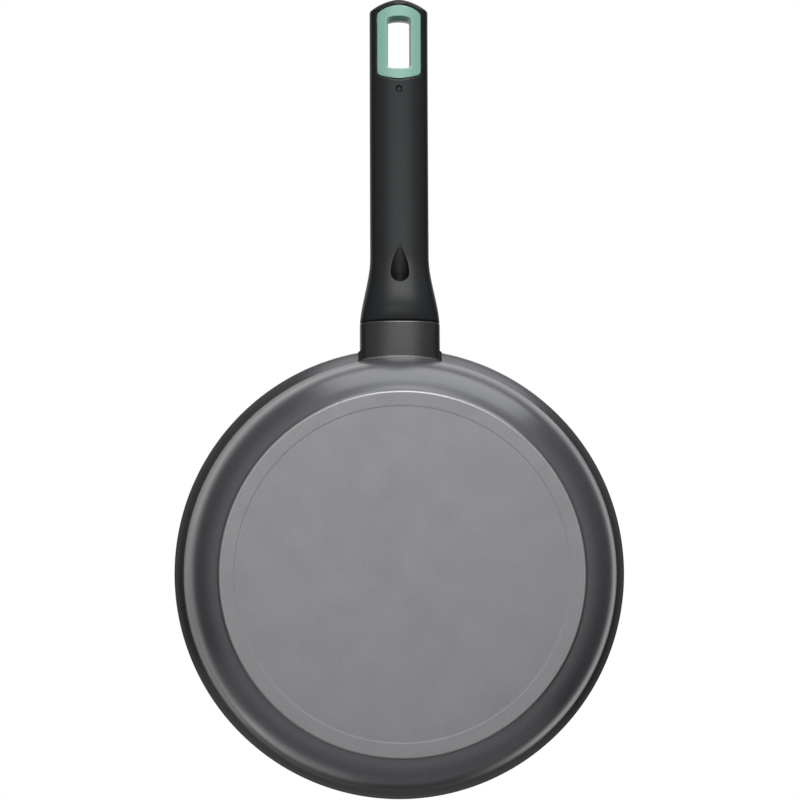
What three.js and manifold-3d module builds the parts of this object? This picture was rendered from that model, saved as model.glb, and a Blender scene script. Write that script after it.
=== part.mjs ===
// Deep frying pan with a screwed-on handle. Millimetres, +Z up.
// The origin is the middle of the resting face, and the handle runs out along +X.

import * as THREE from "three";
import { mergeVertices } from "three/addons/utils/BufferGeometryUtils.js";
import Module from "manifold-3d";

const wasm = await Module();
wasm.setup();

// Clearance between neighbouring pieces
const FIT = 0.3;

// Pan body: foot, bowl wall, shoulder, neck and flared lip
const RIM_DIAMETER = 240;
const BODY_HEIGHT = 72;
const WALL = 3;
const BASE_THICKNESS = 4.5;
const LIP_OVERHANG = 5.7;
const LIP_ANGLE = THREE.MathUtils.degToRad(58);
const NECK_HEIGHT = 3.5;
const NECK_TURN = THREE.MathUtils.degToRad(38);
const NECK_ROUND = 3;
const SHOULDER_INNER_ROUND = 1.2;
const WALL_LEAN = THREE.MathUtils.degToRad(6);
const CORNER_RADIUS = 30.5;
const CORNER_SLOPE = THREE.MathUtils.degToRad(62);
const FOOT_COVE = 2;
const FOOT_HEIGHT = 1.3;
const FOOT_BEVEL = 0.8;
const GROOVE_INSET = 8.2;
const GROOVE_WIDTH = 1;
const GROOVE_DEPTH = 0.4;
const FLOOR_FILLET = 24;

// Handle line: the straight root, then a gentle downward arch to the tip
const HANDLE_TILT = THREE.MathUtils.degToRad(10);
const ROOT_LENGTH = 20.1;
const HANDLE_LENGTH = 177.1;
const ARCH_RADIUS = 1100;

// Bracket that is riveted to the neck, with a spigot that enters the grip
const PAD_WIDTH = 44.6;
const PAD_HEIGHT = 14;
const PAD_DEPTH = 5;
const SPIGOT_WIDTH = 16;
const SPIGOT_HEIGHT = 13.4;
const SPIGOT_CORNER = 3;
const SPIGOT_ENTRY = 11.5;

// Rivets, spread over a share of the pad's width
const RIVET_SPREAD = 0.56;
const RIVET_DIAMETER = 5;
const RIVET_HEAD_DIAMETER = 8.8;
const RIVET_HEAD_HEIGHT = 1.6;
const RIVET_TAIL_DIAMETER = 7.2;
const RIVET_TAIL_HEIGHT = 1.8;
const RIVET_TAIL_BEVEL = 0.9;
const RIVET_SEAT_DEPTH = 3.2;

// Flame guard, a sleeve between the bracket and the grip
const GUARD_WIDTH = 42.6;
const GUARD_HEIGHT = 19.6;
const GUARD_WALL = 1.2;
const GUARD_CHAMFER = 0.5;

// Grip: cuff, flare and hand grip
const CUFF_WIDTH = 42.7;
const CUFF_RISE = 10.4;
const CUFF_DROP = 10.5;
const BELLY_DROP = 12;
const CUFF_LENGTH = 9;
const CUFF_EDGE = 0.6;
const FLARE_LENGTH = 26;
const TAPER_LEAD = 3.5;
const TAPER_LENGTH = 40;
const GRIP_WIDTH = 31.3;
const GRIP_RISE = 8.8;
const GRIP_DROP = 9;
const TIP_RISE = 5.8;
const TIP_CORNER = 2;
const TIP_EDGE = 2.6;

// Screw recess under the flare, drop shaped, and the oblique screw in it
const RECESS_START = 21.4;
const RECESS_LENGTH = 22.2;
const RECESS_WIDTH = 10;
const RECESS_PINCH = 0.47;
const RECESS_FULLNESS = 0.37;
const SCREW_ANGLE = THREE.MathUtils.degToRad(23);
const SCREW_DIAMETER = 5;
const SCREW_HEAD_DIAMETER = 8.4;
const SCREW_HEAD_HEIGHT = 2.4;
const SCREW_HEAD_BEVEL = 1;
const SCREW_POINT_BEVEL = 0.75;
const SCREW_ENGAGEMENT = 8.5;
const SCREW_SLOT = 1.2;
const SCREW_SLOT_LENGTH = 4.6;
const SCREW_SLOT_DEPTH = 1.4;
const SCREW_WEB = 4.2;
const WASHER_THICKNESS = 1.3;
const WASHER_DIAMETER = 8.2;
const WASHER_SPLIT = 1;
const WASHER_SPLIT_SLANT = THREE.MathUtils.degToRad(36);

// Hanging insert in the tip, with a tongue that a pin locks
const INSERT_MARGIN = 3.7;
const INSERT_LENGTH = 39.7;
const INSERT_WIDTH = 23.3;
const INSERT_TIP_RISE = 4.4;
const INSERT_FOOT_RISE = 2.5;
const INSERT_CORNER = 2.6;
const RING_TIP = 5.8;
const RING_FOOT = 5.4;
const RING_SIDE = 5.3;
const HOLE_DRAFT = 0.7;
const HOLE_TIP_RISE = 1.2;
const HOLE_FOOT_RISE = 0.4;
const HOLE_CORNER = 1.6;
const TONGUE_WIDTH = 8;
const TONGUE_THICKNESS = 4;
const TONGUE_LENGTH = 8;
const PIN_DIAMETER = 2.6;
const PIN_LENGTH = 10;
const PIN_BEVEL = 0.3;
const PIN_SINK = 0.5;
const PIN_OFFSET = 5.7;

// Squareness of the handle's section at the root and along the grip
const ROOT_POWER = 2.9;
const SECTION_POWER = 2.5;

// Facets, the reach of a cutter that goes right through a piece, and the joining of corners
const BODY_SEGMENTS = 60;
const ROUND_SEGMENTS = 24;
const RING_POINTS = 32;
const CURVE_SEGMENTS = 4;
const DROP_SEGMENTS = 7;
const COVE_STEPS = 2;
const CORNER_STEPS = 7;
const SHOULDER_STEPS = 3;
const NECK_STEPS = 2;
const LIP_STEPS = 5;
const RIM_STEPS = 4;
const FILLET_STEPS = 6;
const DOME_STEPS = 3;
const FLARE_STEPS = 9;
const GRIP_STEPS = 11;
const TIP_CORNER_SHARES = [0.5, 0.8, 1];
const TIP_ARCH_SHARES = [0.8, 0.6, 0.4, 0.2, 0.1];
const REACH = 60;
const WELD = 0.0001;

// Solids and geometry
function solid(geometry) {
  const bare = new THREE.BufferGeometry();
  bare.setAttribute("position", geometry.getAttribute("position"));
  bare.setIndex(geometry.index);
  const merged = mergeVertices(bare, WELD);
  const corners = merged.index.array;
  const kept = [];
  for (let i = 0; i < corners.length; i += 3) {
    const [a, b, c] = corners.slice(i, i + 3);
    if (a !== b && b !== c && c !== a) {
      kept.push(a, b, c);
    }
  }
  const vertProperties = Float32Array.from(merged.getAttribute("position").array);
  const triVerts = Uint32Array.from(kept);
  return new wasm.Manifold(new wasm.Mesh({ numProp: 3, vertProperties, triVerts }));
}

function geometryOf(manifold) {
  const mesh = manifold.getMesh();
  const geometry = new THREE.BufferGeometry();
  geometry.setAttribute("position", new THREE.BufferAttribute(mesh.vertProperties, 3));
  geometry.setIndex(new THREE.BufferAttribute(mesh.triVerts, 1));
  geometry.computeVertexNormals();
  return geometry;
}

function named(name, manifold, material) {
  const mesh = new THREE.Mesh(geometryOf(manifold), material);
  mesh.name = name;
  return mesh;
}

// Closed outline of (radius, height) points turned about +Z
function revolve(points, segments) {
  const outline = points.map(([radius, height]) => new THREE.Vector2(radius, height));
  return new THREE.LatheGeometry(outline, segments).rotateX(Math.PI / 2);
}

function rod(radius, from, to) {
  return revolve([[0, from], [radius, from], [radius, to], [0, to]], ROUND_SEGMENTS);
}

function plate(shape, from, to, curveSegments = CURVE_SEGMENTS) {
  const options = { depth: to - from, bevelEnabled: false, curveSegments };
  return new THREE.ExtrudeGeometry(shape, options).translate(0, 0, from);
}

// Extrusion along +X of an outline drawn in the YZ plane
function barAlongX(shape, from, to) {
  const turn = new THREE.Matrix4().makeBasis(
    new THREE.Vector3(0, 1, 0),
    new THREE.Vector3(0, 0, 1),
    new THREE.Vector3(1, 0, 0),
  );
  return plate(shape, from, to).applyMatrix4(turn);
}

// Extrusion across Y of an outline drawn in the XZ plane
function barAcrossY(shape, halfWidth) {
  return plate(shape, -halfWidth, halfWidth).rotateX(Math.PI / 2);
}

function roundedRectangle(width, height, corner) {
  const x = width / 2 - corner;
  const y = height / 2 - corner;
  const shape = new THREE.Shape();
  shape.absarc(x, y, corner, 0, Math.PI / 2);
  shape.absarc(-x, y, corner, Math.PI / 2, Math.PI);
  shape.absarc(-x, -y, corner, Math.PI, 1.5 * Math.PI);
  shape.absarc(x, -y, corner, 1.5 * Math.PI, 2 * Math.PI);
  return shape;
}

// Points of a rounded section, flatter than an ellipse, with its own rise and drop
function section(halfWidth, rise, drop, power) {
  const points = [];
  for (let i = 0; i < RING_POINTS; i += 1) {
    const angle = (2 * Math.PI * i) / RING_POINTS;
    const across = Math.cos(angle);
    const up = Math.sin(angle);
    const reach = up > 0 ? rise : drop;
    const y = halfWidth * Math.sign(across) * Math.abs(across) ** (2 / power);
    const z = reach * Math.sign(up) * Math.abs(up) ** (2 / power);
    points.push(new THREE.Vector2(y, z));
  }
  return points;
}

// Skin over rings of points, closed by end caps, or on itself when it is a loop
function skin(rings, loop) {
  const count = rings[0].length;
  const points = rings.flat();
  const faces = [];
  const spans = loop ? rings.length : rings.length - 1;
  for (let i = 0; i < spans; i += 1) {
    const near = i * count;
    const far = ((i + 1) % rings.length) * count;
    for (let k = 0; k < count; k += 1) {
      const next = (k + 1) % count;
      faces.push(near + k, near + next, far + next, near + k, far + next, far + k);
    }
  }
  if (!loop) {
    const last = (rings.length - 1) * count;
    for (let k = 1; k < count - 1; k += 1) {
      faces.push(0, k + 1, k);
      faces.push(last, last + k, last + k + 1);
    }
  }
  const geometry = new THREE.BufferGeometry().setFromPoints(points);
  geometry.setIndex(faces);
  return geometry;
}

// Pan profile: samples of the outer face, each with its outward normal
function arc(centreR, centreZ, radius, from, to, steps, facing) {
  const samples = [];
  for (let i = 0; i <= steps; i += 1) {
    const angle = from + ((to - from) * i) / steps;
    const r = Math.cos(angle);
    const z = Math.sin(angle);
    samples.push({
      r: centreR + radius * r,
      z: centreZ + radius * z,
      nr: facing * r,
      nz: facing * z,
    });
  }
  return samples;
}

const offset = (samples, by) => samples.map((p) => [p.r + by * p.nr, p.z + by * p.nz]);

const rimRadius = RIM_DIAMETER / 2;
const shoulderRadius = rimRadius - LIP_OVERHANG;
const shoulderRound = WALL + SHOULDER_INNER_ROUND;
const turnRadius = shoulderRound + NECK_ROUND;
const neckRadius = shoulderRadius - turnRadius * (1 - Math.cos(NECK_TURN));
const lipCentreR = rimRadius - WALL / 2;
const lipCentreZ = BODY_HEIGHT - WALL / 2;
const lipEndR = lipCentreR + (WALL / 2) * Math.cos(LIP_ANGLE);
const lipEndZ = lipCentreZ - (WALL / 2) * Math.sin(LIP_ANGLE);
const lipRadius = (lipEndR - neckRadius) / (1 - Math.cos(LIP_ANGLE));
const neckTop = lipEndZ - lipRadius * Math.sin(LIP_ANGLE);
const neckMiddle = neckTop - NECK_HEIGHT / 2;
const shoulderHeight = neckTop - NECK_HEIGHT - turnRadius * Math.sin(NECK_TURN);

// Leaning wall and the rounded corner under it, down to the cove beside the foot
const coveTop = FOOT_HEIGHT + FOOT_COVE * Math.sin(CORNER_SLOPE);
const coveWidth = FOOT_COVE * (1 - Math.cos(CORNER_SLOPE));
const cornerCentreZ = coveTop + CORNER_RADIUS * Math.sin(CORNER_SLOPE);
const cornerTop = cornerCentreZ - CORNER_RADIUS * Math.sin(WALL_LEAN);
const leanStartR = shoulderRadius - shoulderRound * (1 - Math.cos(WALL_LEAN));
const leanStartZ = shoulderHeight - shoulderRound * Math.sin(WALL_LEAN);
const cornerTopR = leanStartR - (leanStartZ - cornerTop) * Math.tan(WALL_LEAN);
const cornerCentreR = cornerTopR - CORNER_RADIUS * Math.cos(WALL_LEAN);
const footRadius = cornerCentreR + CORNER_RADIUS * Math.cos(CORNER_SLOPE) - coveWidth;

const cove = arc(
  footRadius + FOOT_COVE,
  FOOT_HEIGHT,
  FOOT_COVE,
  Math.PI,
  Math.PI - CORNER_SLOPE,
  COVE_STEPS,
  -1,
);
const corner = arc(
  cornerCentreR,
  cornerCentreZ,
  CORNER_RADIUS,
  -CORNER_SLOPE,
  -WALL_LEAN,
  CORNER_STEPS,
  1,
);
const shoulder = arc(
  shoulderRadius - shoulderRound,
  shoulderHeight,
  shoulderRound,
  -WALL_LEAN,
  NECK_TURN,
  SHOULDER_STEPS,
  1,
);
const neck = arc(
  shoulderRadius - shoulderRound + turnRadius * Math.cos(NECK_TURN),
  shoulderHeight + turnRadius * Math.sin(NECK_TURN),
  NECK_ROUND,
  Math.PI + NECK_TURN,
  Math.PI,
  NECK_STEPS,
  -1,
);
const lip = arc(
  neckRadius + lipRadius,
  neckTop,
  lipRadius,
  Math.PI,
  Math.PI - LIP_ANGLE,
  LIP_STEPS,
  -1,
);
const outerWall = [...corner, ...shoulder, ...neck.slice(1), ...lip];
const innerWall = [...shoulder, ...neck.slice(1), ...lip];

// Fillet between the cooking floor and the inside of the leaning wall
const filletZ = BASE_THICKNESS + FLOOR_FILLET;
const leanOffset = leanStartR * Math.cos(WALL_LEAN) - leanStartZ * Math.sin(WALL_LEAN);
const filletReach = leanOffset - WALL - FLOOR_FILLET + filletZ * Math.sin(WALL_LEAN);
const filletR = filletReach / Math.cos(WALL_LEAN);

function panBody() {
  const grooveR = footRadius - GROOVE_INSET;
  const underside = [
    [0, 0],
    [grooveR - GROOVE_WIDTH / 2, 0],
    [grooveR - GROOVE_WIDTH / 4, GROOVE_DEPTH],
    [grooveR + GROOVE_WIDTH / 4, GROOVE_DEPTH],
    [grooveR + GROOVE_WIDTH / 2, 0],
    [footRadius - FOOT_BEVEL, 0],
    [footRadius, FOOT_BEVEL],
  ];
  const rimEdge = arc(
    lipCentreR,
    lipCentreZ,
    WALL / 2,
    -LIP_ANGLE,
    Math.PI - LIP_ANGLE,
    RIM_STEPS,
    1,
  );
  const fillet = arc(filletR, filletZ, FLOOR_FILLET, -WALL_LEAN, -Math.PI / 2, FILLET_STEPS, -1);
  const profile = [
    ...underside,
    ...offset(cove.slice(0, -1), 0),
    ...offset(outerWall, 0),
    ...offset(rimEdge.slice(1, -1), 0),
    ...offset(innerWall, -WALL).reverse(),
    ...offset(fillet, 0),
    [0, BASE_THICKNESS],
  ];
  return rivetSides.reduce(
    (body, side) => body.subtract(solid(rivetHole(side))),
    solid(revolve(profile, BODY_SEGMENTS)),
  );
}

// Space that the pan's outside takes up, grown by the fit, to seat the handle pieces on
function panEnvelope() {
  const outside = offset(outerWall, FIT);
  const profile = [
    [0, outside[0][1]],
    ...outside,
    [rimRadius + FIT, lipCentreZ],
    [rimRadius + FIT, BODY_HEIGHT + REACH],
    [0, BODY_HEIGHT + REACH],
  ];
  return revolve(profile, BODY_SEGMENTS);
}

// Rivets: radial, one each side of the handle line, at the middle of the neck
const rivetSides = [-1, 1];
const rivetTurn = Math.asin((RIVET_SPREAD * PAD_WIDTH) / 2 / neckRadius);
const rivetSeatR = neckRadius + RIVET_SEAT_DEPTH;

function rivetPlace(side) {
  const place = new THREE.Matrix4().makeRotationZ(side * rivetTurn);
  place.multiply(new THREE.Matrix4().makeTranslation(0, 0, neckMiddle));
  place.multiply(new THREE.Matrix4().makeRotationY(Math.PI / 2));
  return place;
}

function rivetHole(side) {
  const radius = RIVET_DIAMETER / 2 + FIT;
  return rod(radius, neckRadius - REACH / 2, neckRadius + REACH / 2).applyMatrix4(rivetPlace(side));
}

function rivetSpotFace(side) {
  const radius = RIVET_TAIL_DIAMETER / 2 + FIT;
  return rod(radius, rivetSeatR, rivetSeatR + REACH).applyMatrix4(rivetPlace(side));
}

function rivet() {
  const shank = RIVET_DIAMETER / 2;
  const head = RIVET_HEAD_DIAMETER / 2;
  const tail = RIVET_TAIL_DIAMETER / 2;
  const innerFace = (neckRadius - WALL) * Math.cos(Math.PI / BODY_SEGMENTS) - FIT;
  const tailFace = rivetSeatR + FIT;
  const tailEnd = tailFace + RIVET_TAIL_HEIGHT;
  const domeRadius = (head ** 2 + RIVET_HEAD_HEIGHT ** 2) / (2 * RIVET_HEAD_HEIGHT);
  const domeCentre = innerFace - RIVET_HEAD_HEIGHT + domeRadius;
  const bottom = -Math.PI / 2;
  const spread = Math.asin(head / domeRadius);
  const dome = arc(0, domeCentre, domeRadius, bottom, bottom + spread, DOME_STEPS, 1);
  const profile = [
    [0, innerFace - RIVET_HEAD_HEIGHT],
    ...offset(dome.slice(1), 0),
    [shank, innerFace],
    [shank, tailFace],
    [tail, tailFace],
    [tail, tailEnd - RIVET_TAIL_BEVEL],
    [tail - RIVET_TAIL_BEVEL, tailEnd],
    [0, tailEnd],
  ];
  return solid(revolve(profile, ROUND_SEGMENTS));
}

// Handle frame: its own +X along the handle line, from the neck of the pan
const handlePlace = new THREE.Matrix4().makeTranslation(neckRadius, 0, neckMiddle);
handlePlace.multiply(new THREE.Matrix4().makeRotationY(-HANDLE_TILT));
const toHandle = handlePlace.clone().invert();

// Middle line of the grip at a distance from the cuff's end
function lineAt(distance) {
  const archStart = CUFF_LENGTH + FLARE_LENGTH;
  const bend = Math.max(distance - archStart, 0) / ARCH_RADIUS;
  const straight = Math.min(distance, archStart);
  return {
    x: ROOT_LENGTH + straight + ARCH_RADIUS * Math.sin(bend),
    z: -ARCH_RADIUS * (1 - Math.cos(bend)),
    bend,
  };
}

function placeAt(distance) {
  const { x, z, bend } = lineAt(distance);
  const place = new THREE.Matrix4().makeTranslation(x, 0, z);
  return place.multiply(new THREE.Matrix4().makeRotationY(bend));
}

// Arched end of a given rise, blended into the sides by corner arcs
function archedEnd(halfWidth, rise, corner) {
  const radius = (halfWidth ** 2 + rise ** 2) / (2 * rise);
  const cornerY = halfWidth - corner;
  const cornerX = Math.sqrt((radius - corner) ** 2 - cornerY ** 2);
  return { radius, cornerY, cornerX, angle: Math.atan2(cornerY, cornerX) };
}

// Outline with a foot at x = 0, a tip at x = length, and both ends arched
function archedOutline(length, width, tipRise, footRise, corner) {
  const tip = archedEnd(width / 2, tipRise, corner);
  const foot = archedEnd(width / 2, footRise, corner);
  const tipX = length - tip.radius + tip.cornerX;
  const footX = foot.radius - foot.cornerX;
  const quarter = Math.PI / 2;
  const shape = new THREE.Shape();
  shape.absarc(tipX, -tip.cornerY, corner, -quarter, -tip.angle);
  shape.absarc(length - tip.radius, 0, tip.radius, -tip.angle, tip.angle);
  shape.absarc(tipX, tip.cornerY, corner, tip.angle, quarter);
  shape.absarc(footX, foot.cornerY, corner, quarter, Math.PI - foot.angle);
  shape.absarc(foot.radius, 0, foot.radius, Math.PI - foot.angle, Math.PI + foot.angle);
  shape.absarc(footX, -foot.cornerY, corner, Math.PI + foot.angle, 3 * quarter);
  return shape;
}

// Bar of the bracket's pad, whose ears show beside the guard
function padBar(grow) {
  const halfHeight = PAD_HEIGHT / 2 + grow;
  const outline = section(PAD_WIDTH / 2 + grow, halfHeight, halfHeight, ROOT_POWER);
  return barAlongX(new THREE.Shape(outline), -REACH / 4, PAD_DEPTH + grow);
}

function guard() {
  const from = -REACH / 4;
  const to = ROOT_LENGTH - FIT;
  const ring = (x, inset) => {
    const halfHeight = GUARD_HEIGHT / 2 - inset;
    const outline = section(GUARD_WIDTH / 2 - inset, halfHeight, halfHeight, ROOT_POWER);
    return outline.map((p) => new THREE.Vector3(x, p.x, p.y));
  };
  const rings = [
    ring(from, 0),
    ring(to - GUARD_CHAMFER, 0),
    ring(to, GUARD_CHAMFER),
    ring(to, GUARD_WALL),
    ring(from, GUARD_WALL),
  ];
  return solid(skin(rings, true))
    .subtract(solid(panEnvelope().applyMatrix4(toHandle)))
    .subtract(solid(padBar(FIT)));
}

function bracket() {
  const bar = roundedRectangle(SPIGOT_WIDTH, SPIGOT_HEIGHT, SPIGOT_CORNER);
  const spigot = barAlongX(bar, 0, ROOT_LENGTH + SPIGOT_ENTRY);
  let body = solid(padBar(0))
    .add(solid(spigot))
    .subtract(solid(panEnvelope().applyMatrix4(toHandle)));
  for (const side of rivetSides) {
    body = body.subtract(solid(rivetHole(side).applyMatrix4(toHandle)));
    body = body.subtract(solid(rivetSpotFace(side).applyMatrix4(toHandle)));
  }
  const threadEnd = seatToSpigot() + SCREW_ENGAGEMENT + 2 * FIT;
  const thread = rod(SCREW_DIAMETER / 2 + FIT, -threadEnd, 0);
  return body.subtract(solid(thread.applyMatrix4(screwPlace())));
}

// Screw seat: its axis lies below the recess floor by the radius of the driver's bore
const boreRadius = SCREW_HEAD_DIAMETER / 2 + FIT;

function recessTip() {
  return { x: ROOT_LENGTH + RECESS_START + RECESS_LENGTH, z: -GRIP_DROP };
}

function floorHeight(x) {
  const tip = recessTip();
  return tip.z + (tip.x - x) * Math.tan(SCREW_ANGLE);
}

function seatPoint() {
  const x = ROOT_LENGTH + SPIGOT_ENTRY + SCREW_WEB * Math.cos(SCREW_ANGLE);
  return { x, z: floorHeight(x) - boreRadius / Math.cos(SCREW_ANGLE) };
}

// Length along the screw from its seat to the plane of the spigot's end
function seatToSpigot() {
  return (seatPoint().x - ROOT_LENGTH - SPIGOT_ENTRY) / Math.cos(SCREW_ANGLE);
}

// Screw frame: +Z from the seat out towards the driver
function screwPlace() {
  const seat = seatPoint();
  const place = new THREE.Matrix4().makeTranslation(seat.x, 0, seat.z);
  return place.multiply(new THREE.Matrix4().makeRotationY(Math.PI / 2 + SCREW_ANGLE));
}

function recess() {
  const tip = recessTip();
  const half = RECESS_WIDTH / 2;
  const roundX = tip.x - RECESS_LENGTH + half;
  const pinchX = THREE.MathUtils.lerp(tip.x, roundX, RECESS_PINCH);
  const fullX = THREE.MathUtils.lerp(tip.x, roundX, RECESS_FULLNESS);
  const drop = new THREE.Shape();
  drop.moveTo(tip.x, 0);
  drop.bezierCurveTo(pinchX, 0, fullX, half, roundX, half);
  drop.absarc(roundX, 0, half, Math.PI / 2, 1.5 * Math.PI);
  drop.bezierCurveTo(fullX, -half, pinchX, 0, tip.x, 0);
  const wedge = new THREE.Shape();
  wedge.moveTo(tip.x + FIT, floorHeight(tip.x + FIT));
  wedge.lineTo(roundX - half - FIT, floorHeight(roundX - half - FIT));
  wedge.lineTo(roundX - half - FIT, tip.z - REACH);
  wedge.lineTo(tip.x + FIT, tip.z - REACH);
  const pit = solid(plate(drop, tip.z - REACH / 2, REACH / 2, DROP_SEGMENTS));
  const entry = (roundX - seatPoint().x) / Math.cos(SCREW_ANGLE);
  const bore = rod(boreRadius, 0, entry).applyMatrix4(screwPlace());
  return pit.intersect(solid(barAcrossY(wedge, REACH))).add(solid(bore));
}

function screw() {
  const shank = SCREW_DIAMETER / 2;
  const head = SCREW_HEAD_DIAMETER / 2;
  const under = WASHER_THICKNESS + 2 * FIT;
  const top = under + SCREW_HEAD_HEIGHT;
  const end = -seatToSpigot() - SCREW_ENGAGEMENT;
  const profile = [
    [0, end],
    [shank - SCREW_POINT_BEVEL, end],
    [shank, end + SCREW_POINT_BEVEL],
    [shank, under],
    [head, under],
    [head, top - SCREW_HEAD_BEVEL],
    [head - SCREW_HEAD_BEVEL, top],
    [0, top],
  ];
  let body = solid(revolve(profile, ROUND_SEGMENTS));
  for (const turn of [0, Math.PI / 2]) {
    const slot = new THREE.BoxGeometry(SCREW_SLOT_LENGTH, SCREW_SLOT, 2 * SCREW_SLOT_DEPTH);
    body = body.subtract(solid(slot.rotateZ(turn).translate(0, 0, top)));
  }
  return body;
}

function springWasher() {
  const inner = SCREW_DIAMETER / 2 + FIT;
  const outer = WASHER_DIAMETER / 2;
  const low = FIT;
  const high = FIT + WASHER_THICKNESS;
  const profile = [
    [inner, low],
    [outer, low],
    [outer, high],
    [inner, high],
    [inner, low],
  ];
  const ring = revolve(profile, ROUND_SEGMENTS);
  const split = new THREE.BoxGeometry(outer * 2, WASHER_SPLIT, REACH);
  const slanted = split.translate(outer, 0, 0).rotateX(WASHER_SPLIT_SLANT);
  return solid(ring).subtract(solid(slanted));
}

// Grip: one skin over sections set along the handle line
const blend = (value) => THREE.MathUtils.smoothstep(value, 0, 1);

// Depth below the middle line, with a belly where the cuff meets the flare
function dropAt(distance) {
  if (distance < CUFF_LENGTH) {
    return THREE.MathUtils.lerp(CUFF_DROP, BELLY_DROP, distance / CUFF_LENGTH);
  }
  const left = Math.max(1 - (distance - CUFF_LENGTH) / FLARE_LENGTH, 0);
  return GRIP_DROP + (BELLY_DROP - GRIP_DROP) * left ** 2;
}

function gripSize(distance) {
  const widthBlend = blend((distance + TAPER_LEAD) / TAPER_LENGTH);
  const heightBlend = blend((distance - CUFF_LENGTH) / FLARE_LENGTH);
  return {
    halfWidth: THREE.MathUtils.lerp(CUFF_WIDTH, GRIP_WIDTH, widthBlend) / 2,
    rise: THREE.MathUtils.lerp(CUFF_RISE, GRIP_RISE, heightBlend),
    drop: dropAt(distance),
    power: THREE.MathUtils.lerp(ROOT_POWER, SECTION_POWER, heightBlend),
  };
}

// Half width left by the arched tip, and depth left by its rounded edge
function tipHalfWidth(fromTip, halfWidth) {
  const end = archedEnd(halfWidth, TIP_RISE, TIP_CORNER);
  const inward = end.radius - fromTip;
  if (inward <= end.cornerX) {
    return halfWidth;
  }
  if (inward < end.radius * Math.cos(end.angle)) {
    return end.cornerY + Math.sqrt(TIP_CORNER ** 2 - (inward - end.cornerX) ** 2);
  }
  return Math.sqrt(end.radius ** 2 - inward ** 2);
}

function edgeTrim(fromTip) {
  const inward = Math.max(TIP_EDGE - fromTip, 0);
  return TIP_EDGE - Math.sqrt(TIP_EDGE ** 2 - inward ** 2);
}

function gripStations() {
  const stations = [0, CUFF_EDGE, CUFF_LENGTH / 2];
  for (let i = 0; i <= FLARE_STEPS; i += 1) {
    stations.push(CUFF_LENGTH + (FLARE_LENGTH * i) / FLARE_STEPS);
  }
  const end = archedEnd(GRIP_WIDTH / 2, TIP_RISE, TIP_CORNER);
  const straightEnd = HANDLE_LENGTH - end.radius + end.cornerX;
  const gripStart = CUFF_LENGTH + FLARE_LENGTH;
  for (let i = 1; i <= GRIP_STEPS; i += 1) {
    stations.push(THREE.MathUtils.lerp(gripStart, straightEnd, i / GRIP_STEPS));
  }
  for (const share of TIP_CORNER_SHARES) {
    const reach = Math.sin(share * (Math.PI / 2 - end.angle));
    stations.push(straightEnd + TIP_CORNER * reach);
  }
  for (const share of TIP_ARCH_SHARES) {
    stations.push(HANDLE_LENGTH - end.radius * (1 - Math.cos(share * end.angle)));
  }
  return stations;
}

function gripRing(distance) {
  const size = gripSize(distance);
  const fromTip = HANDLE_LENGTH - distance;
  const frontTrim = distance === 0 ? CUFF_EDGE : 0;
  const trim = edgeTrim(fromTip) + frontTrim;
  const halfWidth = tipHalfWidth(fromTip, size.halfWidth) - frontTrim;
  const place = placeAt(distance);
  const outline = section(halfWidth, size.rise - trim, size.drop - trim, size.power);
  return outline.map((p) => new THREE.Vector3(0, p.x, p.y).applyMatrix4(place));
}

function gripForm() {
  return solid(skin(gripStations().map(gripRing), false));
}

// Insert frame: the foot of the insert, square to the handle line at its middle
const insertMiddle = HANDLE_LENGTH - INSERT_MARGIN - INSERT_LENGTH / 2;

function insertPlace() {
  const toFoot = new THREE.Matrix4().makeTranslation(-INSERT_LENGTH / 2, 0, 0);
  return placeAt(insertMiddle).multiply(toFoot);
}

function insertBlock(grow) {
  const outline = archedOutline(
    INSERT_LENGTH + 2 * grow,
    INSERT_WIDTH + 2 * grow,
    INSERT_TIP_RISE,
    INSERT_FOOT_RISE,
    INSERT_CORNER + grow,
  );
  return plate(outline, -REACH, REACH).translate(-grow, 0, 0);
}

function tongueBlock(grow) {
  const half = TONGUE_THICKNESS / 2 + grow;
  const length = 2 * (TONGUE_LENGTH + grow);
  const shape = roundedRectangle(length, TONGUE_WIDTH + 2 * grow, TONGUE_WIDTH / 4);
  return plate(shape, -half, half);
}

// Hanging hole: widest at both faces, drawn in by the draft at mid depth
function hangingHole() {
  const depth = GRIP_DROP + REACH / 10;
  const rings = [-depth, 0, depth].map((z) => {
    const grow = (HOLE_DRAFT * (Math.abs(z) - GRIP_DROP)) / GRIP_DROP;
    const outline = archedOutline(
      INSERT_LENGTH - RING_TIP - RING_FOOT + 2 * grow,
      INSERT_WIDTH - 2 * RING_SIDE + 2 * grow,
      HOLE_TIP_RISE,
      HOLE_FOOT_RISE,
      HOLE_CORNER + grow,
    );
    const arcs = outline.curves.filter((curve) => curve.isEllipseCurve);
    const points = arcs.flatMap((curve) => curve.getPoints(2 * CURVE_SEGMENTS));
    return points.map((p) => new THREE.Vector3(RING_FOOT - grow + p.x, p.y, z));
  });
  return skin(rings, false);
}

function pinHole() {
  const top = PIN_SINK + PIN_LENGTH + FIT - GRIP_DROP;
  return rod(PIN_DIAMETER / 2 + FIT, -REACH, top).translate(-PIN_OFFSET, 0, 0);
}

function hangInsert() {
  const place = insertPlace();
  const sleeve = solid(insertBlock(0).applyMatrix4(place)).intersect(gripForm());
  return sleeve
    .add(solid(tongueBlock(0).applyMatrix4(place)))
    .subtract(solid(hangingHole().applyMatrix4(place)))
    .subtract(solid(pinHole().applyMatrix4(place)));
}

function lockPin() {
  const low = PIN_SINK - GRIP_DROP;
  const radius = PIN_DIAMETER / 2;
  const profile = [
    [0, low],
    [radius - PIN_BEVEL, low],
    [radius, low + PIN_BEVEL],
    [radius, low + PIN_LENGTH],
    [0, low + PIN_LENGTH],
  ];
  return solid(revolve(profile, ROUND_SEGMENTS));
}

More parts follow.
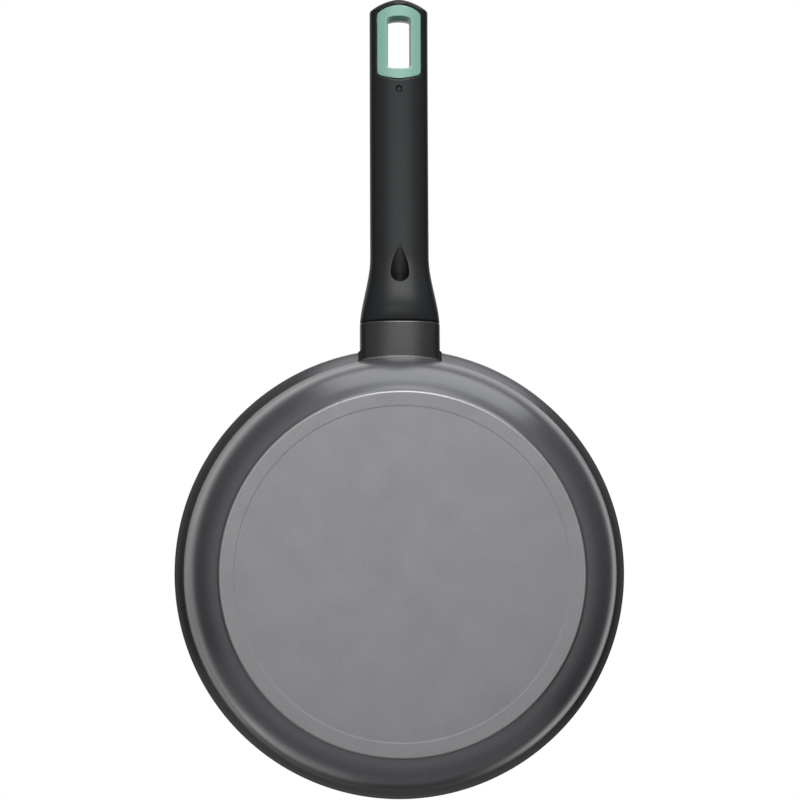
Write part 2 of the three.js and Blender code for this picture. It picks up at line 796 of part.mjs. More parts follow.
function handleGrip() {
  const socket = roundedRectangle(
    SPIGOT_WIDTH + 2 * FIT,
    SPIGOT_HEIGHT + 2 * FIT,
    SPIGOT_CORNER + FIT,
  );
  const spigotRoom = barAlongX(socket, 0, ROOT_LENGTH + SPIGOT_ENTRY + FIT);
  const shankRoom = rod(SCREW_DIAMETER / 2 + FIT, -REACH / 4, FIT).applyMatrix4(screwPlace());
  const place = insertPlace();
  return gripForm()
    .subtract(solid(spigotRoom))
    .subtract(solid(shankRoom))
    .subtract(recess())
    .subtract(solid(insertBlock(FIT).applyMatrix4(place)))
    .subtract(solid(tongueBlock(FIT).applyMatrix4(place)))
    .subtract(solid(pinHole().applyMatrix4(place)));
}

// Finishes
const finish = (color, roughness, metalness) =>
  new THREE.MeshStandardMaterial({ color, roughness, metalness });
const coatedGrey = finish(0x8b8b8d, 0.42, 0.6);
const castAluminium = finish(0x4a4a4c, 0.55, 0.7);
const brightAluminium = finish(0xb4b6b8, 0.35, 1);
const guardGrey = finish(0x5d5c5f, 0.45, 0.6);
const softBlack = finish(0x2c2c2d, 0.55, 0);
const zincSteel = finish(0xa8a9ab, 0.35, 1);
const mint = finish(0x91bbae, 0.5, 0);

// Assembly
const pan = new THREE.Group();
pan.add(named("pan_body", panBody(), coatedGrey));

for (const [name, side] of [["bracket_rivet_left", 1], ["bracket_rivet_right", -1]]) {
  const seat = new THREE.Group();
  seat.applyMatrix4(rivetPlace(side));
  seat.add(named(name, rivet(), brightAluminium));
  pan.add(seat);
}

const handle = new THREE.Group();
handle.applyMatrix4(handlePlace);
handle.add(named("handle_bracket", bracket(), castAluminium));
handle.add(named("flame_guard", guard(), guardGrey));
handle.add(named("handle_grip", handleGrip(), softBlack));
handle.add(named("hang_insert", hangInsert(), mint));
pan.add(handle);

const screwSeat = new THREE.Group();
screwSeat.applyMatrix4(screwPlace());
screwSeat.add(named("handle_screw", screw(), zincSteel));
screwSeat.add(named("screw_spring_washer", springWasher(), zincSteel));
handle.add(screwSeat);

const pinSeat = new THREE.Group();
pinSeat.applyMatrix4(insertPlace());
const pin = named("insert_lock_pin", lockPin(), softBlack);
pin.position.x = -PIN_OFFSET;
pinSeat.add(pin);
handle.add(pinSeat);

export default pan;
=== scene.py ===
import math
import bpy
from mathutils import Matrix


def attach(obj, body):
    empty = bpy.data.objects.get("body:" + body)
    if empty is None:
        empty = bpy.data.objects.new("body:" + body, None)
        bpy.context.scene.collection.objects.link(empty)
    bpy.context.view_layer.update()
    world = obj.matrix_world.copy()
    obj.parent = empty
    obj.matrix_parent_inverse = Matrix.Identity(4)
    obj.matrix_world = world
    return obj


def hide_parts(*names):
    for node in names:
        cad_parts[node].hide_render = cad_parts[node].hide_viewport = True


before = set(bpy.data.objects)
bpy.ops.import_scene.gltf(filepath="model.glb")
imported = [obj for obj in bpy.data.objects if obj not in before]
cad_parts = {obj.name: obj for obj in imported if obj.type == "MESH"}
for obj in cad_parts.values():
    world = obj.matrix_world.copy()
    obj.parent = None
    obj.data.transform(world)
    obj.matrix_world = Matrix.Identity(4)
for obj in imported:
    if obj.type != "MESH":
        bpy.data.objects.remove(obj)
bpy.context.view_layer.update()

from types import SimpleNamespace

import bmesh
import bpy
from mathutils import Matrix, Vector

bl_info = {
    "name": "Deep frying pan",
    "version": (1, 0, 0),
    "blender": (4, 5, 0),
    "location": "View3D > Sidebar > Pan",
    "description": "Builds a deep frying pan with a screwed-on handle, its finishes and a small studio",
    "category": "Add Mesh",
}

BODY = "root"
QUARTER = math.pi / 2

# Mesh density
BODY_SEGMENTS = 192
ROUND_SEGMENTS = 48
SECTION_POINTS = 128
ARC_STEP = math.radians(3)
CORNER_STEPS = 12
ARCH_STEPS = 24
DROP_STEPS = 24
FLAT_ROWS = 8
EDGE_ROWS = 4
GROOVE_ROWS = 6
WALL_ROWS = 6
GRIP_ROWS = 110
CUFF_EDGE_ROWS = 4
TIP_CORNER_ROWS = 6
TIP_SHARES = (0.9, 0.8, 0.7, 0.6, 0.5, 0.4, 0.3, 0.2, 0.1, 0.05)
PIT_SHARES = (0.05, 0.12, 0.2, 0.3, 0.45, 0.65, 0.9)
BELLY_STEPS = 4
SOFTEN_STEPS = 4
SHARP_ANGLE = math.radians(38)

# Reach of a cutter: right through a piece, or less far where another piece is near
REACH = 0.06
HALF_REACH = REACH / 2
SHORT_REACH = REACH / 4
HOLE_REACH = REACH / 10

# Shares of the fit that pieces fill, so that less of the gap shows
INSERT_SWELL = 0.4
PIN_SWELL = 0.8

# Proportions: least depth of the recess to its edge's round, then bevels, crown, slot and corners
PIT_MARGIN = 1.2
POINT_BEVEL = 0.3
CROWN_SHARE = 0.5
SLOT_SHARE = 1.1
SLOT_CORNER = 0.25
WASHER_CORNER = 0.2

# Noise in the finishes
FLECK_RANGE = (0.42, 0.68)
CLOUD_RANGE = (0.3, 0.7)
CLOUD_RATIO = 0.06
FINE_RATIO = 1.9
HANDLING_SCALE = 38.0

# Lamps: name, place, width and height
LAMPS = (
    ("Key", (1.41, 0.12, -1.3), (0.6, 0.6)),
    ("Front", (0.36, -0.05, -2.2), (0.75, 0.75)),
    ("Fill", (-1.7, -0.26, 0.15), (5.1, 2.4)),
    ("Strip", (1.75, 0.27, 0.21), (2.05, 1.45)),
    ("Top", (0.6, -0.5, 2.0), (1.8, 1.8)),
    ("Back", (-1.4, -0.8, 1.2), (1.0, 1.0)),
)
LAMP_AIM = (0.05, 0.0, 0.04)

# Floor, in metres
FLOOR_HALF = 3.0
FLOOR_LEVEL = -0.0006

# Soft edges of the surroundings, as parts of a direction of length 1
BACKDROP_EDGE = (0.985, 0.998)
BELOW_EDGE = (-0.05, -0.4)
CEILING_AXIS = (0.0, -0.12, 0.99)
CEILING_OUTER_EDGE = (0.54, 0.7)
CEILING_INNER_EDGE = (0.96, 0.85)
CEILING_END = (-0.95, -0.75)


# Properties

def length(label, text, default):
    """A size in metres."""
    return bpy.props.FloatProperty(
        name=label,
        description=text,
        default=default,
        min=0.0,
        precision=5,
        unit="LENGTH",
        subtype="DISTANCE",
    )


def turn(label, text, degrees):
    """An angle, written in degrees."""
    return bpy.props.FloatProperty(
        name=label, description=text, default=math.radians(degrees), unit="ROTATION", subtype="ANGLE"
    )


def share(label, text, default):
    """A plain number."""
    return bpy.props.FloatProperty(name=label, description=text, default=default, min=0.0, precision=3)


def spot(label, text, default):
    """A place in metres."""
    return bpy.props.FloatVectorProperty(
        name=label, description=text, default=default, size=3, unit="LENGTH", subtype="TRANSLATION"
    )


def tint(label, text, default):
    """A linear colour."""
    return bpy.props.FloatVectorProperty(
        name=label, description=text, default=default, size=3, min=0.0, max=1.0, subtype="COLOR"
    )


class PanBodySizes(bpy.types.PropertyGroup):
    """Sizes of the pan body"""

    rim_diameter: length("Rim", "Diameter over the lip", 0.240)
    height: length("Height", "From the resting face to the rim", 0.072)
    wall: length("Wall", "Thickness of the wall and the lip", 0.003)
    base_thickness: length("Base", "Thickness of the base", 0.0045)
    lip_overhang: length("Lip overhang", "Reach of the lip beyond the shoulder", 0.0057)
    lip_angle: turn("Lip angle", "Lean of the lip at its edge", 58)
    neck_height: length("Neck height", "Straight part of the neck", 0.0035)
    neck_turn: turn("Neck turn", "Angle at which the shoulder turns in", 38)
    neck_round: length("Neck round", "Radius between shoulder and neck", 0.003)
    shoulder_round: length("Shoulder round", "Outer radius of the shoulder", 0.0042)
    wall_lean: turn("Wall lean", "Lean of the wall below the shoulder", 6)
    corner_radius: length("Corner radius", "Radius between wall and base", 0.0305)
    corner_slope: turn("Corner slope", "Slope of that corner beside the foot", 62)
    foot_height: length("Foot height", "Height at which the cove starts", 0.0013)
    foot_round: length("Foot round", "Radius of the foot's edge", 0.0011)
    foot_cove: length("Foot cove", "Radius of the cove between foot and wall", 0.002)
    groove_inset: length("Groove inset", "From the foot's edge to the ring groove", 0.0082)
    groove_width: length("Groove width", "Width of the ring groove", 0.001)
    groove_depth: length("Groove depth", "Depth of the ring groove", 0.00008)
    groove_ramp: length("Groove ramp", "Width of its gentle inner side", 0.006)
    floor_fillet: length("Floor fillet", "Radius between cooking floor and wall", 0.024)


class PanHandleSizes(bpy.types.PropertyGroup):
    """Sizes of the handle, its guard and its bracket"""

    fit: length("Fit", "Clearance between pieces", 0.0003)
    tilt: turn("Tilt", "Rise of the handle at its root", 10)
    root_length: length("Root", "From the neck to the joint of guard and grip", 0.0201)
    length: length("Length", "From that joint to the tip", 0.1771)
    arch_radius: length("Arch radius", "Radius of the handle's arch", 1.1)
    cuff_width: length("Cuff width", "Width at the joint", 0.0427)
    cuff_rise: length("Cuff rise", "Height above the middle line at the joint", 0.0104)
    cuff_drop: length("Cuff drop", "Depth below the middle line at the joint", 0.0105)
    belly_drop: length("Belly drop", "Depth where the cuff meets the flare", 0.0124)
    belly_round: length("Belly round", "Reach of the rounding over the belly", 0.0028)
    cuff_length: length("Cuff length", "Length of the cuff", 0.009)
    cuff_edge: length("Cuff edge", "Round of the cuff's edge", 0.0002)
    lap: length("Lap", "Reach of the guard's round edge into the cuff's round edge", 0.0001)
    flare_length: length("Flare", "Length of the flare after the cuff", 0.026)
    taper_lead: length("Taper lead", "Start of the sides' taper before the joint", 0.0035)
    taper_length: length("Taper length", "Length of the sides' taper", 0.040)
    grip_width: length("Grip width", "Width of the hand grip", 0.0313)
    grip_rise: length("Grip rise", "Height of the grip above the middle line", 0.0088)
    grip_drop: length("Grip drop", "Depth of the grip below the middle line", 0.009)
    tip_rise: length("Tip rise", "Rise of the arched tip", 0.0058)
    tip_corner: length("Tip corner", "Radius at the corners of the tip", 0.002)
    tip_edge: length("Tip edge", "Round of the tip's edge", 0.0026)
    root_power: share("Root section", "Squareness of the section at the root", 2.5)
    grip_power: share("Grip section", "Squareness of the section of the grip", 2.5)
    guard_width: length("Guard width", "Width of the flame guard", 0.0426)
    guard_height: length("Guard height", "Height of the flame guard", 0.0196)
    guard_wall: length("Guard wall", "Wall of the flame guard", 0.0012)
    guard_round: length("Guard round", "Round of the guard's edge at the joint", 0.0011)
    # The four sizes below place the painted highlight, a lighter band of colour, on the guard's ends
    highlight_reach: length("Highlight reach", "Reach of the painted highlight at both ends of the guard", 0.0012)
    highlight_root: length("Highlight at the root", "Where it is full beside the pan", 0.0009)
    highlight_joint: length("Highlight at the joint", "Where it is full beside the joint", 0.0008)
    highlight_share: share("Joint highlight", "Strength of the painted highlight at the joint", 0.35)
    pad_width: length("Pad width", "Width of the bracket's pad", 0.0446)
    pad_height: length("Pad height", "Height of the bracket's pad", 0.014)
    pad_depth: length("Pad depth", "Front face of the pad, from the neck", 0.005)
    pad_round: length("Pad round", "Round of the pad's front edge", 0.0007)
    spigot_width: length("Spigot width", "Width of the bracket's spigot", 0.016)
    spigot_height: length("Spigot height", "Height of the spigot", 0.0134)
    spigot_corner: length("Spigot corner", "Corner radius of the spigot", 0.003)
    spigot_entry: length("Spigot entry", "Depth of the spigot in the grip", 0.0115)


class PanFittingSizes(bpy.types.PropertyGroup):
    """Sizes of the rivets, the screw with its recess, the insert and its pin"""

    rivet_spread: share("Rivet spread", "Distance of the two rivets, as a share of the pad's width", 0.56)
    rivet_shank: length("Rivet shank", "Diameter of a rivet", 0.005)
    rivet_head: length("Rivet head", "Diameter of the head in the bowl", 0.0088)
    rivet_head_height: length("Rivet head height", "Height of that head", 0.0016)
    rivet_tail: length("Rivet tail", "Diameter of the closed end", 0.0072)
    rivet_tail_height: length("Rivet tail height", "Height of the closed end", 0.0018)
    rivet_seat: length("Rivet seat", "Depth of its seat in the bracket", 0.0032)
    recess_start: length("Recess start", "From the joint to the screw recess", 0.0209)
    recess_length: length("Recess length", "Length of the drop-shaped recess", 0.0212)
    recess_width: length("Recess width", "Width of the recess", 0.0096)
    recess_pinch: share("Recess pinch", "How far its point stays narrow", 0.4)
    recess_point: share("Recess point", "Width of its point, as a share of the recess", 0.5)
    recess_fullness: share("Recess fullness", "How far its round end stays wide", 0.6)
    recess_edge: length("Recess edge", "Round of the recess's edge", 0.0004)
    screw_angle: turn("Screw angle", "Slope of the screw and the recess floor", 23)
    screw_shank: length("Screw shank", "Diameter of the screw", 0.005)
    screw_head: length("Screw head", "Diameter of its head", 0.0084)
    screw_head_height: length("Screw head height", "Height of its head", 0.0024)
    screw_engagement: length("Screw engagement", "Length in the bracket", 0.0085)
    screw_web: length("Screw web", "Plastic between seat and spigot", 0.0042)
    slot_width: length("Slot width", "Width of the cross slot", 0.0012)
    slot_depth: length("Slot depth", "Depth of the cross slot", 0.0014)
    washer_thickness: length("Washer thickness", "Thickness of the spring washer", 0.0013)
    washer_diameter: length("Washer", "Diameter of the spring washer", 0.0082)
    washer_split: length("Washer split", "Gap in the spring washer", 0.001)
    insert_margin: length("Insert margin", "From the tip to the insert", 0.0037)
    insert_length: length("Insert length", "Length of the hanging insert", 0.0397)
    insert_width: length("Insert width", "Width of the hanging insert", 0.0233)
    insert_tip_rise: length("Insert tip rise", "Rise of its arched tip", 0.0044)
    insert_foot_rise: length("Insert foot rise", "Rise of its arched foot", 0.0025)
    insert_corner: length("Insert corner", "Radius of its corners", 0.0026)
    ring_tip: length("Ring tip", "Width of the ring at the tip", 0.0058)
    ring_foot: length("Ring foot", "Width of the ring at the foot", 0.0054)
    ring_side: length("Ring side", "Width of the ring at the sides", 0.0053)
    hole_draft: length("Hole draft", "How far the hole draws in at mid depth", 0.0007)
    hole_tip_rise: length("Hole tip rise", "Rise of the hole's arched tip", 0.0012)
    hole_foot_rise: length("Hole foot rise", "Rise of the hole's arched foot", 0.0004)
    hole_corner: length("Hole corner", "Radius of the hole's corners", 0.0016)
    tongue_width: length("Tongue width", "Width of the insert's tongue", 0.008)
    tongue_thickness: length("Tongue thickness", "Thickness of the tongue", 0.004)
    tongue_length: length("Tongue length", "Length of the tongue", 0.008)
    tongue_corner: length("Tongue corner", "Corner radius of the tongue", 0.002)
    pin_diameter: length("Pin", "Diameter of the lock pin", 0.0026)
    pin_length: length("Pin length", "Length of the lock pin", 0.010)
    pin_sink: length("Pin sink", "Depth of the pin below the surface", 0.0008)
    pin_edge: length("Pin edge", "Round of the pin hole's edge", 0.0004)
    pin_offset: length("Pin offset", "From the insert's foot to the pin", 0.0059)
    grip_voxel: length("Grip grain", "Size of the remeshed faces of the grip", 0.0005)
    insert_voxel: length("Insert grain", "Size of the remeshed faces of the insert", 0.00036)


class PanFinishes(bpy.types.PropertyGroup):
    """Colours of the finishes"""

    coat: tint("Outer coat", "Grey coat of the base", (0.163, 0.1635, 0.1695))
    coat_fleck: tint("Coat fleck", "Darker flecks in the grey coat", (0.135, 0.1355, 0.141))
    # Lighter colour along the whole edge of the foot
    edge: tint("Foot edge", "Lighter edge of the foot", (0.235, 0.235, 0.239))
    side: tint("Side coat", "Coat of the wall", (0.109, 0.111, 0.119))
    side_fleck: tint("Side fleck", "Darker flecks in that coat", (0.094, 0.096, 0.103))
    lip: tint("Lip coat", "Coat of the lip", (0.066, 0.067, 0.072))
    lip_fleck: tint("Lip fleck", "Darker flecks in that coat", (0.057, 0.058, 0.062))
    lining: tint("Lining", "Non-stick lining of the bowl", (0.045, 0.045, 0.047))
    lining_fleck: tint("Lining fleck", "Pale flecks in the lining", (0.19, 0.19, 0.195))
    guard: tint("Guard", "Coat of the flame guard", (0.033, 0.033, 0.0347))
    guard_fleck: tint("Guard fleck", "Darker flecks in that coat", (0.0235, 0.0235, 0.0255))
    # Lighter colour of the painted highlight on both ends of the guard
    guard_highlight: tint("Guard highlight", "Painted highlight on the guard's ends", (0.115, 0.115, 0.119))
    grip: tint("Grip", "Soft-touch black", (0.0092, 0.0105, 0.0115))
    # Darker colour inside the screw recess: painted shade
    recess: tint("Recess", "Darker plastic in the screw recess, painted shade", (0.0072, 0.0079, 0.0076))
    insert: tint("Insert", "Mint", (0.15, 0.3, 0.25))
    bracket: tint("Bracket", "Dark cast metal", (0.026, 0.026, 0.0275))
    rivet: tint("Rivet", "Bare aluminium", (0.6, 0.6, 0.61))
    steel: tint("Steel", "Zinc-plated steel", (0.5, 0.5, 0.51))


class PanStage(bpy.types.PropertyGroup):
    """Camera, lamps and surroundings"""

    camera: spot("Camera", "Place of the camera", (0.009, -0.045, -1.932))
    target: spot("Target", "Point in the middle of the picture", (0.0926, 0.0003, 0.069))
    up: bpy.props.FloatVectorProperty(
        name="Up",
        description="Direction that points up in the picture",
        default=(1.0, 0.0012, 0.0),
        size=3,
        subtype="XYZ",
    )
    lens: share("Lens", "Focal length on a 36 mm sensor, in millimetres", 168.75)
    key: share("Key", "Power of the lamp below the handle, in watts", 25.5)
    front: share("Front", "Power of the lamp beside the camera, in watts", 12.4)
    fill: share("Fill", "Power of the lamp beyond the far wall, in watts", 12.6)
    strip: share("Strip", "Power of the lamp beyond the handle, in watts", 25.9)
    top: share("Top", "Power of the lamp above the bowl, in watts", 5.0)
    back: share("Back", "Power of the lamp behind the bowl, in watts", 1.6)
    surround: tint("Surround", "Dim surroundings of the object", (0.05, 0.05, 0.051))
    below: tint("Below", "Soft light from below", (0.52, 0.52, 0.52))
    ceiling: tint("Ceiling", "Ring of soft light above", (1.0, 1.0, 1.0))
    floor: tint("Floor", "Pale floor", (0.8, 0.8, 0.8))


# Outlines

def mixed(a, b, amount):
    """Value between a and b."""
    return a + (b - a) * amount


def smooth_step(value):
    """Soft blend from 0 to 1."""
    value = min(max(value, 0.0), 1.0)
    return value * value * (3 - 2 * value)


def arc(centre, radius, start, end, steps=None):
    """Points on an arc, both ends included."""
    steps = steps or max(2, math.ceil(abs(end - start) / ARC_STEP))
    points = []
    for i in range(steps + 1):
        angle = start + (end - start) * i / steps
        points.append((centre[0] + radius * math.cos(angle), centre[1] + radius * math.sin(angle)))
    return points


def line(start, end, steps):
    """Points between two points, both left out."""
    return [
        (start[0] + (end[0] - start[0]) * i / steps, start[1] + (end[1] - start[1]) * i / steps)
        for i in range(1, steps)
    ]


def pan_lines(s):
    """Radii and heights of the pan that several pieces share."""
    rim = s.rim_diameter / 2
    edge = s.wall / 2
    shoulder_radius = rim - s.lip_overhang
    turn_radius = s.shoulder_round + s.neck_round
    neck_radius = shoulder_radius - turn_radius * (1 - math.cos(s.neck_turn))
    lip_centre = (rim - edge, s.height - edge)
    lip_end_r = lip_centre[0] + edge * math.cos(s.lip_angle)
    lip_end_z = lip_centre[1] - edge * math.sin(s.lip_angle)
    lip_radius = (lip_end_r - neck_radius) / (1 - math.cos(s.lip_angle))
    neck_top = lip_end_z - lip_radius * math.sin(s.lip_angle)
    shoulder_height = neck_top - s.neck_height - turn_radius * math.sin(s.neck_turn)
    shoulder_centre = (shoulder_radius - s.shoulder_round, shoulder_height)
    neck_centre = (
        shoulder_centre[0] + turn_radius * math.cos(s.neck_turn),
        shoulder_centre[1] + turn_radius * math.sin(s.neck_turn),
    )
    lean_start_r = shoulder_centre[0] + s.shoulder_round * math.cos(s.wall_lean)
    lean_start_z = shoulder_centre[1] - s.shoulder_round * math.sin(s.wall_lean)
    corner_start_z = s.foot_height + s.foot_cove * math.sin(s.corner_slope)
    corner_z = corner_start_z + s.corner_radius * math.sin(s.corner_slope)
    corner_top = corner_z - s.corner_radius * math.sin(s.wall_lean)
    corner_top_r = lean_start_r - (lean_start_z - corner_top) * math.tan(s.wall_lean)
    corner_r = corner_top_r - s.corner_radius * math.cos(s.wall_lean)
    corner_start_r = corner_r + s.corner_radius * math.cos(s.corner_slope)
    foot_radius = corner_start_r - s.foot_cove * (1 - math.cos(s.corner_slope))
    lean_offset = lean_start_r * math.cos(s.wall_lean) - lean_start_z * math.sin(s.wall_lean)
    fillet_z = s.base_thickness + s.floor_fillet
    fillet_reach = lean_offset - s.wall - s.floor_fillet + fillet_z * math.sin(s.wall_lean)
    return SimpleNamespace(
        rim=rim,
        edge=edge,
        neck_radius=neck_radius,
        neck_middle=neck_top - s.neck_height / 2,
        lip_centre=lip_centre,
        lip_arc=((neck_radius + lip_radius, neck_top), lip_radius),
        neck_arc=(neck_centre, s.neck_round),
        shoulder_arc=(shoulder_centre, s.shoulder_round),
        corner_arc=((corner_r, corner_z), s.corner_radius),
        foot_radius=foot_radius,
        fillet_centre=(fillet_reach / math.cos(s.wall_lean), fillet_z),
    )


def shoulder_wall(s, lines, offset):
    """Shoulder and neck, moved out from the outer face by an offset."""
    centre, radius = lines.shoulder_arc
    points = arc(centre, radius + offset, -s.wall_lean, s.neck_turn)
    centre, radius = lines.neck_arc
    return points + arc(centre, radius - offset, math.pi + s.neck_turn, math.pi)[1:]


def lip_wall(s, lines, offset):
    """Lip, moved out from the outer face by an offset."""
    centre, radius = lines.lip_arc
    return arc(centre, radius - offset, math.pi, math.pi - s.lip_angle)


def lower_wall(s, lines, offset):
    """Rounded corner under the wall, moved out by an offset."""
    centre, radius = lines.corner_arc
    return arc(centre, radius + offset, -s.corner_slope, -s.wall_lean)


def base_face(s, lines):
    """Resting face with its ring groove."""
    groove = lines.foot_radius - s.groove_inset
    half = s.groove_width / 2
    inner, deep = (groove - s.groove_ramp, 0.0), (groove, s.groove_depth)
    middle = (0.0, 0.0)
    points = [middle, *line(middle, inner, FLAT_ROWS), inner, *line(inner, deep, FLAT_ROWS), deep]
    for i in range(1, GROOVE_ROWS + 1):
        height = s.groove_depth * (1 - smooth_step(i / GROOVE_ROWS))
        points.append((groove + half * i / GROOVE_ROWS, height))
    outer = (groove + s.groove_width, 0.0)
    rest = (lines.foot_radius - s.foot_round - half, 0.0)
    return [*points, outer, *line(outer, rest, EDGE_ROWS), rest]


def foot_edge(s, lines):
    """Round edge of the foot."""
    return arc((lines.foot_radius - s.foot_round, s.foot_round), s.foot_round, -QUARTER, 0.0)


def foot_cove(s, lines):
    """Cove between the foot and the wall."""
    centre = (lines.foot_radius + s.foot_cove, s.foot_height)
    return arc(centre, s.foot_cove, math.pi, math.pi - s.corner_slope)[:-1]


def rounded_rectangle(width, height, corner):
    """Outline of a rectangle with round corners."""
    x = width / 2 - corner
    y = height / 2 - corner
    return [
        *arc((x, y), corner, 0.0, QUARTER),
        *arc((-x, y), corner, QUARTER, math.pi),
        *arc((-x, -y), corner, math.pi, 3 * QUARTER),
        *arc((x, -y), corner, 3 * QUARTER, 4 * QUARTER),
    ]


def section(half_width, rise, drop, power):
    """Rounded section, flatter than an ellipse, with its own rise and drop."""
    points = []
    for i in range(SECTION_POINTS):
        angle = 2 * math.pi * i / SECTION_POINTS
        across, up = math.cos(angle), math.sin(angle)
        reach = rise if up > 0 else drop
        y = half_width * math.copysign(abs(across) ** (2 / power), across)
        points.append((y, reach * math.copysign(abs(up) ** (2 / power), up)))
    return points


def arched_end(half_width, rise, corner):
    """Arch of a given rise that corner arcs blend into the sides."""
    radius = (half_width ** 2 + rise ** 2) / (2 * rise)
    corner_y = half_width - corner
    corner_x = math.sqrt((radius - corner) ** 2 - corner_y ** 2)
    return SimpleNamespace(
        radius=radius, corner_y=corner_y, corner_x=corner_x, angle=math.atan2(corner_y, corner_x)
    )


def arched_outline(span, width, tip_rise, foot_rise, corner):
    """Outline from a foot at x = 0 to a tip at x = span, both arched."""
    tip = arched_end(width / 2, tip_rise, corner)
    foot = arched_end(width / 2, foot_rise, corner)
    tip_x = span - tip.radius + tip.corner_x
    foot_x = foot.radius - foot.corner_x
    short, wide = CORNER_STEPS, ARCH_STEPS
    return [
        *arc((tip_x, -tip.corner_y), corner, -QUARTER, -tip.angle, short),
        *arc((span - tip.radius, 0.0), tip.radius, -tip.angle, tip.angle, wide)[1:-1],
        *arc((tip_x, tip.corner_y), corner, tip.angle, QUARTER, short),
        *arc((foot_x, foot.corner_y), corner, QUARTER, math.pi - foot.angle, short),
        *arc((foot.radius, 0.0), foot.radius, math.pi - foot.angle, math.pi + foot.angle, wide)[1:-1],
        *arc((foot_x, -foot.corner_y), corner, math.pi + foot.angle, 3 * QUARTER, short),
    ]


def drop_outline(tip_x, round_x, f):
    """Drop shape with its point at tip_x and a round end about round_x, towards the pan."""
    half = f.recess_width / 2
    pinch_x = mixed(tip_x, round_x, f.recess_pinch)
    full_x = mixed(tip_x, round_x, f.recess_fullness)
    side = []
    for i in range(DROP_STEPS):
        t = i / DROP_STEPS
        a, b, c, d = (1 - t) ** 3, 3 * t * (1 - t) ** 2, 3 * t ** 2 * (1 - t), t ** 3
        x = a * tip_x + b * pinch_x + c * full_x + d * round_x
        side.append((x, (b * f.recess_point + c + d) * half))
    mirrored = [(x, -y) for x, y in reversed(side[1:])]
    return [*side, *arc((round_x, 0.0), half, QUARTER, 3 * QUARTER), *mirrored]


# Meshes

def mesh_of(name, points, faces):
    """Mesh with its normals turned outwards."""
    mesh = bpy.data.meshes.new(name)
    work = bmesh.new()
    corners = [work.verts.new(p) for p in points]
    for face in faces:
        work.faces.new([corners[i] for i in face])
    bmesh.ops.recalc_face_normals(work, faces=work.faces)
    work.to_mesh(mesh)
    work.free()
    return mesh


def revolved(name, outline, segments, finishes=(0,)):
    """Closed outline of (radius, height), from axis to axis, turned about +Z, with a finish per span."""
    points = [(0.0, 0.0, outline[0][1])]
    rows = outline[1:-1]
    for radius, height in rows:
        for k in range(segments):
            angle = 2 * math.pi * k / segments
            points.append((radius * math.cos(angle), radius * math.sin(angle), height))
    last = len(points)
    points.append((0.0, 0.0, outline[-1][1]))
    faces = []
    for k in range(segments):
        after = (k + 1) % segments
        faces.append((0, 1 + k, 1 + after))
        for i in range(len(rows) - 1):
            near, far = 1 + i * segments, 1 + (i + 1) * segments
            faces.append((near + k, far + k, far + after, near + after))
        end = 1 + (len(rows) - 1) * segments
        faces.append((last, end + after, end + k))
    mesh = mesh_of(name, points, faces)
    for i, face in enumerate(mesh.polygons):
        face.material_index = finishes[i % len(finishes)]
    return mesh


def skinned(name, rings, loop=False):
    """Skin over rings of points, closed by end caps, or on itself when it is a loop."""
    count = len(rings[0])
    points = [p for ring in rings for p in ring]
    faces = []
    spans = len(rings) if loop else len(rings) - 1
    for i in range(spans):
        near, far = i * count, ((i + 1) % len(rings)) * count
        for k in range(count):
            after = (k + 1) % count
            faces.append((near + k, near + after, far + after, far + k))
    if not loop:
        faces.append(tuple(reversed(range(count))))
        faces.append(tuple(range(len(points) - count, len(points))))
    return mesh_of(name, points, faces)


def plate(name, outline, low, high):
    """Outline in the XY plane, extruded along Z."""
    return skinned(name, [[(x, y, z) for x, y in outline] for z in (low, high)])


def bar(name, outline, start, end):
    """Outline in the YZ plane, extruded along X."""
    return skinned(name, [[(x, y, z) for y, z in outline] for x in (start, end)])


def rod(name, radius, low, high):
    """Cylinder about Z."""
    return revolved(name, [(0.0, low), (radius, low), (radius, high), (0.0, high)], ROUND_SEGMENTS)


def linked(name, mesh, place=None):
    """Object for a mesh that is first moved into its place."""
    if place is not None:
        mesh.transform(place)
    obj = bpy.data.objects.new(name, mesh)
    bpy.context.scene.collection.objects.link(obj)
    return obj


def carved(obj, cuts, voxel=None):
    """Applies (operation, tool) pairs to an object, then remeshes it where a voxel size is given."""
    for operation, tool in cuts:
        step = obj.modifiers.new(operation, "BOOLEAN")
        step.operation = operation
        step.solver = "EXACT"
        step.object = tool
    if voxel:
        remesh = obj.modifiers.new("Remesh", "REMESH")
        remesh.mode = "VOXEL"
        remesh.voxel_size = voxel
        smooth = obj.modifiers.new("Soften", "SMOOTH")
        smooth.iterations = SOFTEN_STEPS
    depsgraph = bpy.context.evaluated_depsgraph_get()
    mesh = bpy.data.meshes.new_from_object(obj.evaluated_get(depsgraph))
    obj.modifiers.clear()
    rough = obj.data
    obj.data = mesh
    bpy.data.meshes.remove(rough)
    for _, tool in cuts:
        bpy.data.meshes.remove(tool.data)
    if not mesh.polygons:
        raise RuntimeError(f"{obj.name}: the cuts left nothing")
    return obj


def dressed(obj, *materials):
    """Adds material slots to an object."""
    for material in materials:
        obj.data.materials.append(material)
    return obj


def finished(obj, node, slot, *materials):
    """Shades a piece, gives it its finish and lets it stand for its CAD node."""
    mesh = dressed(obj, *materials).data
    mesh.shade_smooth()
    mesh.set_sharp_from_angle(angle=SHARP_ANGLE)
    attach(obj, BODY)
    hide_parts(node)
    return obj


# Places

def handle_place(h, lines):
    """Handle frame: +X along the handle line, from the neck of the pan."""
    start = Matrix.Translation((lines.neck_radius, 0.0, lines.neck_middle))
    return start @ Matrix.Rotation(-h.tilt, 4, "Y")


def place_at(h, distance):
    """Frame on the grip's middle line, at a distance from the joint."""
    arch_start = h.cuff_length + h.flare_length
    bend = max(distance - arch_start, 0.0) / h.arch_radius
    x = h.root_length + min(distance, arch_start) + h.arch_radius * math.sin(bend)
    z = -h.arch_radius * (1 - math.cos(bend))
    return Matrix.Translation((x, 0.0, z)) @ Matrix.Rotation(bend, 4, "Y")


